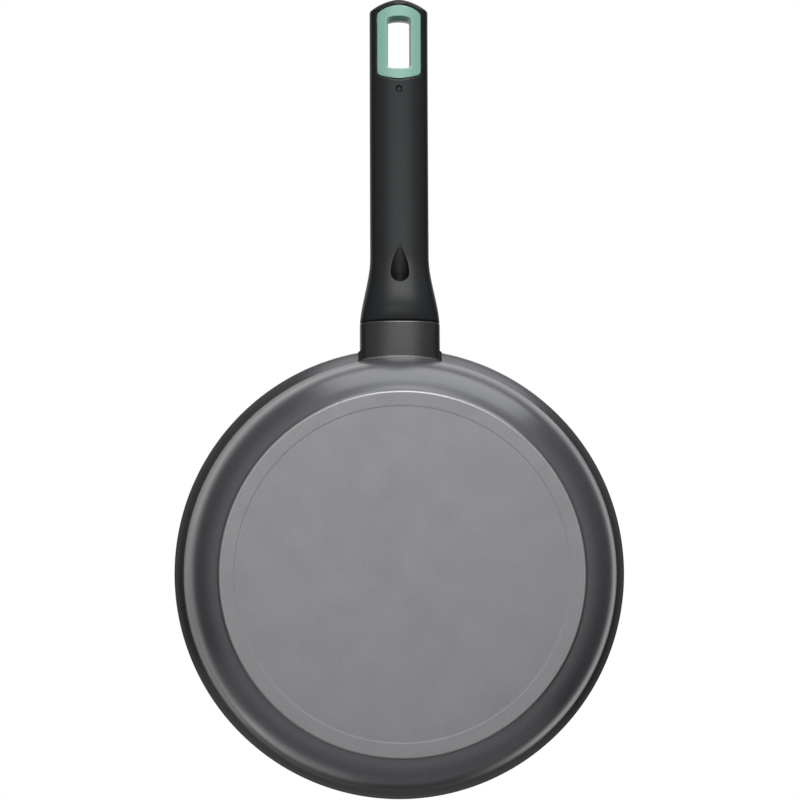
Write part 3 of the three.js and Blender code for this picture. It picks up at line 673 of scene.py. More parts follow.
def insert_place(h, f):
    """Frame at the foot of the insert, square to the handle line at its middle."""
    middle = h.length - f.insert_margin - f.insert_length / 2
    return place_at(h, middle) @ Matrix.Translation((-f.insert_length / 2, 0.0, 0.0))


def recess_tip(h, f):
    """Point of the drop-shaped recess, in the handle frame."""
    return h.root_length + f.recess_start + f.recess_length, -h.grip_drop


def recess_round(h, f):
    """Middle of the recess's round end, along the handle line."""
    return recess_tip(h, f)[0] - f.recess_length + f.recess_width / 2


def floor_height(h, f, x):
    """Height of the sloping recess floor."""
    tip_x, tip_z = recess_tip(h, f)
    return tip_z + (tip_x - x) * math.tan(f.screw_angle)


def bore_radius(h, f):
    """Radius of the bore that the screw head goes through."""
    return f.screw_head / 2 + h.fit


def screw_place(h, f):
    """Screw frame: +Z from the seat out towards the driver."""
    x = h.root_length + h.spigot_entry + f.screw_web * math.cos(f.screw_angle)
    z = floor_height(h, f, x) - bore_radius(h, f) / math.cos(f.screw_angle)
    return Matrix.Translation((x, 0.0, z)) @ Matrix.Rotation(QUARTER + f.screw_angle, 4, "Y")


def rivet_place(h, f, lines, side):
    """Rivet frame: +Z out along a radius of the pan, at the middle of the neck."""
    angle = math.asin(f.rivet_spread * h.pad_width / 2 / lines.neck_radius)
    spin = Matrix.Rotation(side * angle, 4, "Z")
    return spin @ Matrix.Translation((0.0, 0.0, lines.neck_middle)) @ Matrix.Rotation(QUARTER, 4, "Y")


# Forms of the grip and the insert

def edge_trim(from_end, edge):
    """Height lost to a rounded edge near an end."""
    inward = max(edge - from_end, 0.0)
    return edge - math.sqrt(edge ** 2 - inward ** 2)


def tip_half_width(h, from_tip, half_width):
    """Half width that the arched tip leaves."""
    end = arched_end(half_width, h.tip_rise, h.tip_corner)
    inward = end.radius - from_tip
    if inward <= end.corner_x:
        return half_width
    if inward < end.radius * math.cos(end.angle):
        return end.corner_y + math.sqrt(h.tip_corner ** 2 - (inward - end.corner_x) ** 2)
    return math.sqrt(end.radius ** 2 - inward ** 2)


def blends(h, distance):
    """How far the width and the height have changed from cuff to grip."""
    width = smooth_step((distance + h.taper_lead) / h.taper_length)
    height = smooth_step((distance - h.cuff_length) / h.flare_length)
    return width, height


def sharp_drop(h, distance):
    """Depth below the middle line, with a sharp belly where the cuff meets the flare."""
    if distance < h.cuff_length:
        return mixed(h.belly_drop, h.cuff_drop, (1 - distance / h.cuff_length) ** 2)
    return mixed(h.belly_drop, h.grip_drop, blends(h, distance)[1])


def drop_at(h, distance):
    """Depth below the middle line, its belly rounded."""
    shares = [i / BELLY_STEPS for i in range(-BELLY_STEPS, BELLY_STEPS + 1)]
    return sum(sharp_drop(h, distance + part * h.belly_round) for part in shares) / len(shares)


def grip_ring(h, distance):
    """Section of the grip at a distance from the joint."""
    width_blend, height_blend = blends(h, distance)
    from_tip = h.length - distance
    front = edge_trim(distance, h.cuff_edge)
    trim = edge_trim(from_tip, h.tip_edge) + front
    side = mixed(h.cuff_width, h.grip_width, width_blend) / 2
    half_width = tip_half_width(h, from_tip, side) - front
    rise = mixed(h.cuff_rise, h.grip_rise, height_blend) - trim
    drop = drop_at(h, distance) - trim
    power = mixed(h.root_power, h.grip_power, height_blend)
    place = place_at(h, distance)
    return [place @ Vector((0.0, y, z)) for y, z in section(half_width, rise, drop, power)]


def grip_form(h, name):
    """Whole outside of the grip, before anything is cut from it."""
    end = arched_end(h.grip_width / 2, h.tip_rise, h.tip_corner)
    straight_end = h.length - end.radius + end.corner_x
    stations = [h.cuff_edge * i / CUFF_EDGE_ROWS for i in range(CUFF_EDGE_ROWS)]
    stations += [mixed(h.cuff_edge, straight_end, i / GRIP_ROWS) for i in range(GRIP_ROWS + 1)]
    corner_span = end.radius * math.cos(end.angle) - end.corner_x
    for i in range(1, TIP_CORNER_ROWS + 1):
        stations.append(straight_end + corner_span * math.sin(QUARTER * i / TIP_CORNER_ROWS))
    stations += [h.length - end.radius * (1 - math.cos(part * end.angle)) for part in TIP_SHARES]
    return skinned(name, [grip_ring(h, d) for d in stations])


def insert_block(f, grow):
    """Block of the insert's outline."""
    outline = arched_outline(
        f.insert_length + 2 * grow,
        f.insert_width + 2 * grow,
        f.insert_tip_rise,
        f.insert_foot_rise,
        f.insert_corner + grow,
    )
    return plate("insert_block", [(x - grow, y) for x, y in outline], -REACH, REACH)


def tongue_block(f, grow):
    """Block of the insert's tongue."""
    half = f.tongue_thickness / 2 + grow
    long, wide = 2 * f.tongue_length + 2 * grow, f.tongue_width + 2 * grow
    return plate("tongue_block", rounded_rectangle(long, wide, f.tongue_corner), -half, half)


def hanging_hole(h, f):
    """Hole that is widest at both faces and drawn in at mid depth."""
    depth = h.grip_drop + HOLE_REACH
    rings = []
    for z in (-depth, 0.0, depth):
        grow = f.hole_draft * (abs(z) - h.grip_drop) / h.grip_drop
        outline = arched_outline(
            f.insert_length - f.ring_tip - f.ring_foot + 2 * grow,
            f.insert_width - 2 * f.ring_side + 2 * grow,
            f.hole_tip_rise,
            f.hole_foot_rise,
            f.hole_corner + grow,
        )
        rings.append([(f.ring_foot - grow + x, y, z) for x, y in outline])
    return skinned("hanging_hole", rings)


def pin_hole(h, f):
    """Blind hole for the lock pin, with a soft edge at its mouth."""
    radius = f.pin_diameter / 2 + h.fit
    top = f.pin_sink + f.pin_length + h.fit - h.grip_drop
    mouth = radius + f.pin_edge
    outline = [(0.0, -REACH), (mouth, -REACH)]
    outline += arc((mouth, f.pin_edge - h.grip_drop), f.pin_edge, -QUARTER, -2 * QUARTER)
    outline += [(radius, top), (0.0, top)]
    mesh = revolved("pin_hole", outline, ROUND_SEGMENTS)
    mesh.transform(Matrix.Translation((-f.pin_offset, 0.0, 0.0)))
    return mesh


def underside_height(h, x, y):
    """Height of the grip's lower face near the flare."""
    distance = x - h.root_length
    width_blend, height_blend = blends(h, distance)
    half = mixed(h.cuff_width, h.grip_width, width_blend) / 2
    power = mixed(h.root_power, h.grip_power, height_blend)
    return -drop_at(h, distance) * (1 - (abs(y) / half) ** power) ** (1 / power)


def grown(outline, amount):
    """Outline moved outwards along its normals."""
    points = []
    for i, (x, y) in enumerate(outline):
        before, after = outline[i - 1], outline[(i + 1) % len(outline)]
        normal = Vector((after[1] - before[1], before[0] - after[0])).normalized()
        points.append((x + amount * normal.x, y + amount * normal.y))
    return points


def trough_height(h, f, x, y):
    """Height of the rounded recess floor, which lies along the screw."""
    radius = f.recess_width / 2 + h.fit
    sag = radius - math.sqrt(radius ** 2 - y ** 2)
    least = underside_height(h, x, y) + PIT_MARGIN * f.recess_edge
    return max(floor_height(h, f, x) - h.fit - sag, least)


def recess_pit(h, f):
    """Drop-shaped pit with a soft edge and a trough that slopes up towards the screw."""
    tip_x, round_x = recess_tip(h, f)[0], recess_round(h, f)
    outline = drop_outline(tip_x, round_x, f)
    edge = f.recess_edge
    wide = grown(outline, edge)
    rings = [[(x, y, underside_height(h, x, y) - REACH) for x, y in wide]]
    for outward, depth in arc((edge, edge), edge, -QUARTER, -2 * QUARTER):
        ring = grown(outline, outward)
        rings.append([(x, y, underside_height(h, x, y) + depth) for x, y in ring])
    for inward in PIT_SHARES:
        ring = []
        for x, y in outline:
            spine_x = min(max(x, round_x), tip_x - f.recess_width / 2)
            ring.append((mixed(x, spine_x, inward), mixed(y, 0.0, inward)))
        rings.append([(x, y, trough_height(h, f, x, y)) for x, y in ring])
    return skinned("recess_pit", rings)


def oval_ring(h, x, width, height):
    """Rounded outline across the handle line, at a distance from the neck."""
    return [(x, y, z) for y, z in section(width / 2, height / 2, height / 2, h.root_power)]


def pad_bar(h, grow):
    """Bar of the bracket's pad, with a round front edge."""
    width, height = h.pad_width + 2 * grow, h.pad_height + 2 * grow
    front = h.pad_depth + grow
    rings = [oval_ring(h, -SHORT_REACH, width, height)]
    for x, inset in arc((front - h.pad_round, h.pad_round), h.pad_round, -QUARTER, 0.0):
        rings.append(oval_ring(h, x, width - 2 * inset, height - 2 * inset))
    return skinned("bracket_pad", rings)


def pan_envelope(s, lines, fit):
    """Space that the outside of the pan takes up, grown by the fit."""
    outside = lower_wall(s, lines, fit) + shoulder_wall(s, lines, fit) + lip_wall(s, lines, fit)
    rim = lines.rim + fit
    top = s.height + REACH
    outline = [(0.0, outside[0][1]), *outside, (rim, lines.lip_centre[1]), (rim, top), (0.0, top)]
    return revolved("pan_envelope", outline, BODY_SEGMENTS)


# Shader node groups

def new_group(name, inputs, outputs):
    """Shader node group with its sockets, and its input and output nodes."""
    group = bpy.data.node_groups.new(name, "ShaderNodeTree")
    for label, kind in inputs:
        group.interface.new_socket(name=label, in_out="INPUT", socket_type=kind)
    for label, kind in outputs:
        group.interface.new_socket(name=label, in_out="OUTPUT", socket_type=kind)
    return group, group.nodes.new("NodeGroupInput"), group.nodes.new("NodeGroupOutput")


def feed(tree, socket, value):
    """Links a socket to an input, or writes a number into it."""
    if isinstance(value, bpy.types.NodeSocket):
        tree.links.new(value, socket)
    else:
        socket.default_value = value


def noise_node(tree, vector, scale, detail):
    """Noise texture whose scale is a number or a socket."""
    noise = tree.nodes.new("ShaderNodeTexNoise")
    noise.inputs["Detail"].default_value = detail
    tree.links.new(vector, noise.inputs["Vector"])
    feed(tree, noise.inputs["Scale"], scale)
    return noise.outputs["Fac"]


def range_node(tree, value, low, high, top=1.0):
    """Maps the range from low to high to the range from 0 to a top value."""
    node = tree.nodes.new("ShaderNodeMapRange")
    node.inputs["From Min"].default_value = low
    node.inputs["From Max"].default_value = high
    node.inputs["To Min"].default_value = 0.0
    node.inputs["To Max"].default_value = top
    tree.links.new(value, node.inputs["Value"])
    return node.outputs["Result"]


def math_node(tree, operation, a, b):
    """Arithmetic on two sockets or numbers."""
    node = tree.nodes.new("ShaderNodeMath")
    node.operation = operation
    for socket, value in zip(node.inputs, (a, b)):
        feed(tree, socket, value)
    return node.outputs["Value"]


def vector_node(tree, operation, vector, other=(0.0, 0.0, 0.0), output="Vector"):
    """Vector arithmetic on a socket and a fixed vector."""
    node = tree.nodes.new("ShaderNodeVectorMath")
    node.operation = operation
    tree.links.new(vector, node.inputs[0])
    node.inputs[1].default_value = other
    return node.outputs[output]


def speckle_group():
    """Sprayed coat: a mask of small flecks and soft clouds, and the height of its fine texture."""
    group = bpy.data.node_groups.get("Coat speckle")
    if group:
        return group
    group, start, end = new_group(
        "Coat speckle",
        [("Vector", "NodeSocketVector"), ("Scale", "NodeSocketFloat"), ("Cloud", "NodeSocketFloat")],
        [("Mask", "NodeSocketFloat"), ("Height", "NodeSocketFloat")],
    )
    vector, scale = start.outputs["Vector"], start.outputs["Scale"]
    flecks = range_node(group, noise_node(group, vector, scale, detail=2.0), *FLECK_RANGE)
    fine_scale = math_node(group, "MULTIPLY", scale, FINE_RATIO)
    cloud_scale = math_node(group, "MULTIPLY", scale, CLOUD_RATIO)
    clouds = range_node(group, noise_node(group, vector, cloud_scale, detail=3.0), *CLOUD_RANGE)
    reach = math_node(group, "SUBTRACT", clouds, flecks)
    softened = math_node(group, "MULTIPLY", reach, start.outputs["Cloud"])
    group.links.new(math_node(group, "ADD", flecks, softened), end.inputs["Mask"])
    group.links.new(noise_node(group, vector, fine_scale, detail=1.0), end.inputs["Height"])
    return group


def handling_group():
    """Traces of handling: broad soft patches that change the gloss a little."""
    group = bpy.data.node_groups.get("Handling traces")
    if group:
        return group
    group, start, end = new_group(
        "Handling traces",
        [("Vector", "NodeSocketVector"), ("Low", "NodeSocketFloat"), ("High", "NodeSocketFloat")],
        [("Roughness", "NodeSocketFloat")],
    )
    noise = noise_node(group, start.outputs["Vector"], HANDLING_SCALE, detail=5.0)
    patches = range_node(group, noise, *CLOUD_RANGE)
    reach = math_node(group, "SUBTRACT", start.outputs["High"], start.outputs["Low"])
    scaled = math_node(group, "MULTIPLY", patches, reach)
    group.links.new(math_node(group, "ADD", scaled, start.outputs["Low"]), end.inputs["Roughness"])
    return group


# Materials

def base_material(name, colour, metallic=0.0):
    """Material with a plain shader and object coordinates."""
    material = bpy.data.materials.new(name)
    material.use_nodes = True
    tree = material.node_tree
    shader = tree.nodes["Principled BSDF"]
    shader.inputs["Base Color"].default_value = (*colour, 1.0)
    shader.inputs["Metallic"].default_value = metallic
    coordinates = tree.nodes.new("ShaderNodeTexCoord")
    return material, tree, shader, coordinates.outputs["Object"]


def placed_group(tree, group, vector, **values):
    """Node that places a group in a material, with its own values."""
    node = tree.nodes.new("ShaderNodeGroup")
    node.node_tree = group
    for label, value in values.items():
        node.inputs[label].default_value = value
    tree.links.new(vector, node.inputs["Vector"])
    return node


def add_handling(tree, shader, vector, low, high):
    """Lets the gloss change from low to high roughness."""
    node = placed_group(tree, handling_group(), vector, Low=low, High=high)
    tree.links.new(node.outputs["Roughness"], shader.inputs["Roughness"])


def add_bump(tree, shader, height, distance):
    """Raises the surface by a height."""
    bump = tree.nodes.new("ShaderNodeBump")
    bump.inputs["Strength"].default_value = 1.0
    bump.inputs["Distance"].default_value = distance
    tree.links.new(height, bump.inputs["Height"])
    tree.links.new(bump.outputs["Normal"], shader.inputs["Normal"])


def colour_mix(tree, factor, first, second):
    """Mixes two colours, each a colour or a socket, by a socket."""
    mix = tree.nodes.new("ShaderNodeMix")
    mix.data_type = "RGBA"
    sockets = {s.identifier: s for s in mix.inputs}
    for key, colour in (("A_Color", first), ("B_Color", second)):
        if isinstance(colour, bpy.types.NodeSocket):
            tree.links.new(colour, sockets[key])
        else:
            sockets[key].default_value = (*colour, 1.0)
    tree.links.new(factor, sockets["Factor_Float"])
    return next(s for s in mix.outputs if s.identifier == "Result_Color")


def shader_mix(tree, factor, first, second, output):
    """Mixes two shaders by a socket and leads them to the output node."""
    mix = tree.nodes.new("ShaderNodeMixShader")
    tree.links.new(factor, mix.inputs["Fac"])
    tree.links.new(first, mix.inputs[1])
    tree.links.new(second, mix.inputs[2])
    tree.links.new(mix.outputs["Shader"], tree.nodes[output].inputs["Surface"])


def add_speckle(tree, shader, vector, fleck, scale, cloud, distance):
    """Mixes flecks into the base colour and adds the coat's fine texture."""
    colour = shader.inputs["Base Color"].default_value[:3]
    node = placed_group(tree, speckle_group(), vector, Scale=scale, Cloud=cloud)
    flecked = colour_mix(tree, node.outputs["Mask"], colour, fleck)
    tree.links.new(flecked, shader.inputs["Base Color"])
    add_bump(tree, shader, node.outputs["Height"], distance)
    return flecked


def outer_coat(c):
    """Grey sprayed coat of the base, with a metallic sheen."""
    material, tree, shader, vector = base_material("Outer coat", c.coat, metallic=0.55)
    add_handling(tree, shader, vector, low=0.43, high=0.47)
    add_speckle(tree, shader, vector, c.coat_fleck, scale=1100.0, cloud=0.35, distance=0.00001)
    return material


def lighter_foot_edge(c):
    """Foot's edge, lighter and smoother than the coat of the base."""
    material, tree, shader, vector = base_material("Lighter foot edge", c.edge, metallic=0.7)
    add_handling(tree, shader, vector, low=0.36, high=0.42)
    return material


def side_coats(c):
    """Darker and smoother coats of the wall and of the lip."""
    coats = []
    for name, colour, fleck in (("Side coat", c.side, c.side_fleck), ("Lip coat", c.lip, c.lip_fleck)):
        material, tree, shader, vector = base_material(name, colour, metallic=0.6)
        add_handling(tree, shader, vector, low=0.27, high=0.31)
        add_speckle(tree, shader, vector, fleck, scale=1100.0, cloud=0.3, distance=0.000006)
        coats.append(material)
    return coats


def lining(c):
    """Dark non-stick lining with pale flecks."""
    material, tree, shader, vector = base_material("Non-stick lining", c.lining, metallic=0.1)
    add_handling(tree, shader, vector, low=0.36, high=0.48)
    add_speckle(tree, shader, vector, c.lining_fleck, scale=700.0, cloud=0.0, distance=0.00002)
    return material


def painted_highlight_ends(tree, vector, h, lines):
    """Mask of the painted highlight on the guard's ends, beside the pan and at the joint."""
    centre, radius = lines.shoulder_arc
    shoulder = centre[0] + radius
    level = vector_node(tree, "MULTIPLY", vector, (1.0, 1.0, 0.0))
    reach = vector_node(tree, "LENGTH", level, output="Value")
    root = range_node(tree, reach, shoulder + h.highlight_reach, shoulder + h.highlight_root)
    place = handle_place(h, lines)
    axis = place.to_3x3().col[0]
    joint = place.translation.dot(axis) + h.root_length
    along = vector_node(tree, "DOT_PRODUCT", vector, axis, "Value")
    front = range_node(tree, along, joint - h.highlight_reach, joint - h.highlight_joint, top=h.highlight_share)
    return math_node(tree, "MAXIMUM", root, front)


def guard_coat(c, h, lines):
    """Darker sprayed coat of the flame guard, with a painted highlight at both ends."""
    material, tree, shader, vector = base_material("Guard coat", c.guard, metallic=0.6)
    add_handling(tree, shader, vector, low=0.28, high=0.32)
    flecked = add_speckle(tree, shader, vector, c.guard_fleck, scale=900.0, cloud=0.4, distance=0.00002)
    # Painted highlight: a lighter colour in bands beside the pan and at the joint
    highlighted = colour_mix(tree, painted_highlight_ends(tree, vector, h, lines), flecked, c.guard_highlight)
    tree.links.new(highlighted, shader.inputs["Base Color"])
    return material


def soft_black(c):
    """Soft-touch black plastic."""
    material, tree, shader, vector = base_material("Soft-touch black", c.grip)
    shader.inputs["Specular IOR Level"].default_value = 0.165
    add_handling(tree, shader, vector, low=0.37, high=0.41)
    add_bump(tree, shader, noise_node(tree, vector, scale=2600.0, detail=1.0), distance=0.00001)
    return material


def recess_shade_plastic(c):
    """Darker plastic inside the screw recess: painted shade for the deep pit."""
    material, _, shader, _ = base_material("Recess shade plastic", c.recess)
    shader.inputs["Roughness"].default_value = 0.46
    shader.inputs["Specular IOR Level"].default_value = 0.36
    return material


def mint(c):
    """Satin mint of the insert."""
    material, tree, shader, vector = base_material("Mint", c.insert)
    add_handling(tree, shader, vector, low=0.31, high=0.35)
    return material


def cast_metal(c):
    """Dark cast metal of the bracket."""
    material, tree, shader, vector = base_material("Cast metal", c.bracket, metallic=0.6)
    shader.inputs["Roughness"].default_value = 0.55
    add_bump(tree, shader, noise_node(tree, vector, scale=1200.0, detail=3.0), distance=0.00005)
    return material


def bare_metal(name, colour):
    """Bare metal of the fasteners."""
    material, tree, shader, vector = base_material(name, colour, metallic=1.0)
    add_handling(tree, shader, vector, low=0.26, high=0.38)
    return material


# Operators

def sizes_of(context):
    """Property groups of the scene, with the shared lines of the pan."""
    scene = context.scene
    lines = pan_lines(scene.pan_body)
    return scene.pan_body, scene.pan_handle, scene.pan_fittings, lines


class PAN_OT_body(bpy.types.Operator):
    """Turns the pan body and drills its rivet holes"""

    bl_idname = "pan.body"
    bl_label = "Pan body"

    def execute(self, context):
        s, h, f, lines = sizes_of(context)
        colours = context.scene.pan_finishes
        lower = lower_wall(s, lines, 0.0)
        upper = shoulder_wall(s, lines, 0.0)
        rim = arc(lines.lip_centre, lines.edge, -s.lip_angle, math.pi - s.lip_angle)[1:-1]
        half = len(rim) // 2
        inner = [*shoulder_wall(s, lines, -s.wall), *lip_wall(s, lines, -s.wall)]
        fillet = arc(lines.fillet_centre, s.floor_fillet, -s.wall_lean, -QUARTER)
        middle = (0.0, s.base_thickness)
        bowl = [*rim[half:], *inner[::-1], *line(inner[0], fillet[0], WALL_ROWS), *fillet]
        bowl += [*line(fillet[-1], middle, FLAT_ROWS), middle]
        parts = [
            base_face(s, lines),
            foot_edge(s, lines),
            [*foot_cove(s, lines), *lower, *line(lower[-1], upper[0], WALL_ROWS), *upper],
            [*lip_wall(s, lines, 0.0), *rim[:half]],
            bowl,
        ]
        outline = [point for part in parts for point in part]
        finishes = [index for index, part in enumerate(parts) for _ in part][:-1]
        obj = linked("pan_shell", revolved("pan_shell", outline, BODY_SEGMENTS, finishes))
        metal = bare_metal("Bare aluminium", colours.rivet)
        wall, lip = side_coats(colours)
        dressed(obj, outer_coat(colours), lighter_foot_edge(colours), wall, lip, lining(colours), metal)
        radius, neck = f.rivet_shank / 2 + h.fit, lines.neck_radius
        holes = []
        for side in (-1, 1):
            tool = rod("rivet_hole", radius, neck - HALF_REACH, neck + HALF_REACH)
            hole = linked("rivet_hole", tool, rivet_place(h, f, lines, side))
            holes.append(("DIFFERENCE", dressed(hole, metal)))
        finished(carved(obj, holes), "pan_body", "pan_coat")
        return {"FINISHED"}


class PAN_OT_bracket(bpy.types.Operator):
    """Builds the bracket with its pad, spigot and holes"""

    bl_idname = "pan.bracket"
    bl_label = "Handle bracket"

    def execute(self, context):
        s, h, f, lines = sizes_of(context)
        place = handle_place(h, lines)
        obj = linked("bracket_pad", pad_bar(h, 0.0), place)
        outline = rounded_rectangle(h.spigot_width, h.spigot_height, h.spigot_corner)
        spigot = bar("spigot", outline, 0.0, h.root_length + h.spigot_entry)
        cuts = [("UNION", linked("spigot", spigot, place))]
        cuts.append(("DIFFERENCE", linked("pan_envelope", pan_envelope(s, lines, h.fit))))
        seat = lines.neck_radius + f.rivet_seat
        for side in (-1, 1):
            rivet = rivet_place(h, f, lines, side)
            hole = rod("rivet_hole", f.rivet_shank / 2 + h.fit, seat - HALF_REACH, seat + HALF_REACH)
            face = rod("spot_face", f.rivet_tail / 2 + h.fit, seat, seat + REACH)
            cuts.append(("DIFFERENCE", linked("rivet_hole", hole, rivet)))
            cuts.append(("DIFFERENCE", linked("spot_face", face, rivet)))
        depth = f.screw_web + f.screw_engagement + 2 * h.fit
        thread = rod("thread_hole", f.screw_shank / 2 + h.fit, -depth, 0.0)
        cuts.append(("DIFFERENCE", linked("thread_hole", thread, place @ screw_place(h, f))))
        metal = cast_metal(context.scene.pan_finishes)
        finished(carved(obj, cuts), "handle_bracket", "bracket_cast", metal)
        return {"FINISHED"}


class PAN_OT_rivets(bpy.types.Operator):
    """Turns the two rivets that hold the bracket to the neck"""

    bl_idname = "pan.rivets"
    bl_label = "Rivets"

    def execute(self, context):
        s, h, f, lines = sizes_of(context)
        material = bpy.data.materials["Bare aluminium"]
        inner = lines.neck_radius - s.wall - h.fit
        tail = lines.neck_radius + f.rivet_seat + h.fit
        head_radius, shank, tail_radius = f.rivet_head / 2, f.rivet_shank / 2, f.rivet_tail / 2
        dome = (head_radius ** 2 + f.rivet_head_height ** 2) / (2 * f.rivet_head_height)
        spread = math.asin(head_radius / dome)
        top = inner - f.rivet_head_height
        outline = arc((0.0, top + dome), dome, -QUARTER, -QUARTER + spread)
        outline += [(shank, inner), (shank, tail), (tail_radius, tail)]
        bulge = f.rivet_tail_height / 2
        outline += arc((tail_radius - bulge, tail + bulge), bulge, 0.0, QUARTER)
        outline.append((0.0, tail + f.rivet_tail_height))
        rivets = (
            ("rivet_left", "bracket_rivet_left", 1),
            ("rivet_right", "bracket_rivet_right", -1),
        )
        for name, node, side in rivets:
            obj = linked(name, revolved(name, outline, ROUND_SEGMENTS), rivet_place(h, f, lines, side))
            finished(obj, node, "rivet_metal", material)
        return {"FINISHED"}


class PAN_OT_guard(bpy.types.Operator):
    """Builds the flame guard between bracket and grip"""

    bl_idname = "pan.guard"
    bl_label = "Flame guard"

    def execute(self, context):
        s, h, _, lines = sizes_of(context)
        end = h.root_length + h.lap
        steps = [(-SHORT_REACH, 0.0)]
        steps += arc((end - h.guard_round, h.guard_round), h.guard_round, -QUARTER, 0.0)
        steps += [(end, h.guard_wall), (-SHORT_REACH, h.guard_wall)]
        rings = []
        for x, inset in steps:
            rings.append(oval_ring(h, x, h.guard_width - 2 * inset, h.guard_height - 2 * inset))
        place = handle_place(h, lines)
        obj = linked("guard_sleeve", skinned("guard_sleeve", rings, loop=True), place)
        tools = [
            linked("pan_envelope", pan_envelope(s, lines, h.fit / 2)),
            linked("pad_room", pad_bar(h, h.fit), place),
        ]
        carved(obj, [("DIFFERENCE", tool) for tool in tools])
        finished(obj, "flame_guard", "guard_coat", guard_coat(context.scene.pan_finishes, h, lines))
        return {"FINISHED"}


class PAN_OT_grip(bpy.types.Operator):
    """Builds the black grip with its socket, screw recess, insert slot and pin hole"""

    bl_idname = "pan.grip"
    bl_label = "Handle grip"

    def execute(self, context):
        _, h, f, lines = sizes_of(context)
        place = insert_place(h, f)
        obj = linked("grip_moulding", grip_form(h, "grip_moulding"))
        socket = rounded_rectangle(
            h.spigot_width + 2 * h.fit, h.spigot_height + 2 * h.fit, h.spigot_corner + h.fit
        )
        room = bar("socket", socket, 0.0, h.root_length + h.spigot_entry + h.fit)
        screw = screw_place(h, f)
        shank = rod("shank_room", f.screw_shank / 2 + h.fit, -SHORT_REACH, h.fit)
        bore_length = (recess_round(h, f) - screw.translation.x) / math.cos(f.screw_angle)
        bore = rod("head_bore", bore_radius(h, f), 0.0, bore_length)
        tools = [
            linked("socket", room),
            linked("shank_room", shank, screw),
            linked("insert_slot", insert_block(f, h.fit), place),
            linked("tongue_slot", tongue_block(f, h.fit), place),
        ]
        colours = context.scene.pan_finishes
        coat, recess_shade = soft_black(colours), recess_shade_plastic(colours)
        carved(obj, [("DIFFERENCE", tool) for tool in tools], f.grip_voxel)
        dressed(obj, coat, recess_shade)
        # The head bore and the recess pit get the darker plastic: painted shade inside the recess
        pits = [
            dressed(linked("head_bore", bore, screw), recess_shade),
            dressed(linked("recess_pit", recess_pit(h, f)), recess_shade),
            dressed(linked("pin_hole", pin_hole(h, f), place), coat),
        ]
        carved(obj, [("DIFFERENCE", tool) for tool in pits])
        obj.data.transform(handle_place(h, lines))
        finished(obj, "handle_grip", "grip_black")
        return {"FINISHED"}


class PAN_OT_insert(bpy.types.Operator):
    """Builds the mint insert with its hanging hole and tongue"""

    bl_idname = "pan.insert"
    bl_label = "Hanging insert"

    def execute(self, context):
        _, h, f, lines = sizes_of(context)
        place = insert_place(h, f)
        obj = linked("insert_sleeve", insert_block(f, INSERT_SWELL * h.fit), place)
        cuts = [
            ("INTERSECT", linked("grip_outside", grip_form(h, "grip_outside"))),
            ("UNION", linked("tongue", tongue_block(f, 0.0), place)),
            ("DIFFERENCE", linked("hanging_hole", hanging_hole(h, f), place)),
            ("DIFFERENCE", linked("pin_hole", pin_hole(h, f), place)),
        ]
        carved(obj, cuts, f.insert_voxel)
        obj.data.transform(handle_place(h, lines))
        finished(obj, "hang_insert", "insert_mint", mint(context.scene.pan_finishes))
        return {"FINISHED"}


class PAN_OT_screw(bpy.types.Operator):
    """Builds the handle screw and its spring washer"""

    bl_idname = "pan.screw"
    bl_label = "Screw and washer"

    def execute(self, context):
        _, h, f, lines = sizes_of(context)
        steel = bare_metal("Zinc steel", context.scene.pan_finishes.steel)
        seat = handle_place(h, lines) @ screw_place(h, f)
        self.build_screw(h, f, seat, steel)
        self.build_washer(h, f, seat, steel)
        return {"FINISHED"}

    @staticmethod
    def build_screw(h, f, seat, steel):
        """Pan-head screw with a cross slot."""
        under = f.washer_thickness + 2 * h.fit
        top = under + f.screw_head_height
        end = -f.screw_web - f.screw_engagement
        shank, head = f.screw_shank / 2, f.screw_head / 2
        bevel = shank * POINT_BEVEL
        crown = f.screw_head_height * CROWN_SHARE
        outline = [(0.0, end), (shank - bevel, end), (shank, end + bevel), (shank, under), (head, under)]
        outline += arc((head - crown, top - crown), crown, 0.0, QUARTER)
        outline.append((0.0, top))
        obj = linked("screw_part", revolved("screw_part", outline, ROUND_SEGMENTS))
        cuts = []
        span, corner = head * SLOT_SHARE, f.slot_width * SLOT_CORNER
        for size_x, size_y in ((span, f.slot_width), (f.slot_width, span)):
            outline = rounded_rectangle(size_x, size_y, corner)
            tool = plate("slot", outline, top - f.slot_depth, top + REACH)
            cuts.append(("DIFFERENCE", linked("slot", tool)))
        carved(obj, cuts)
        obj.data.transform(seat)
        finished(obj, "handle_screw", "hardware_steel", steel)

    @staticmethod
    def build_washer(h, f, seat, steel):
        """Split ring, its ends a little apart along the screw."""
        inner, outer = f.screw_shank / 2 + h.fit, f.washer_diameter / 2
        gap = f.washer_split / outer
        corner = f.washer_thickness * WASHER_CORNER
        outline = rounded_rectangle(outer - inner, f.washer_thickness, corner)
        rings = []
        for i in range(ROUND_SEGMENTS + 1):
            angle = mixed(gap / 2, 2 * math.pi - gap / 2, i / ROUND_SEGMENTS)
            ring = []
            for r, z in outline:
                reach = r + (inner + outer) / 2
                height = z + h.fit + f.washer_thickness / 2
                ring.append((reach * math.cos(angle), reach * math.sin(angle), height))
            rings.append(ring)
        obj = linked("washer_ring", skinned("washer_ring", rings), seat)
        finished(obj, "screw_spring_washer", "hardware_steel", steel)


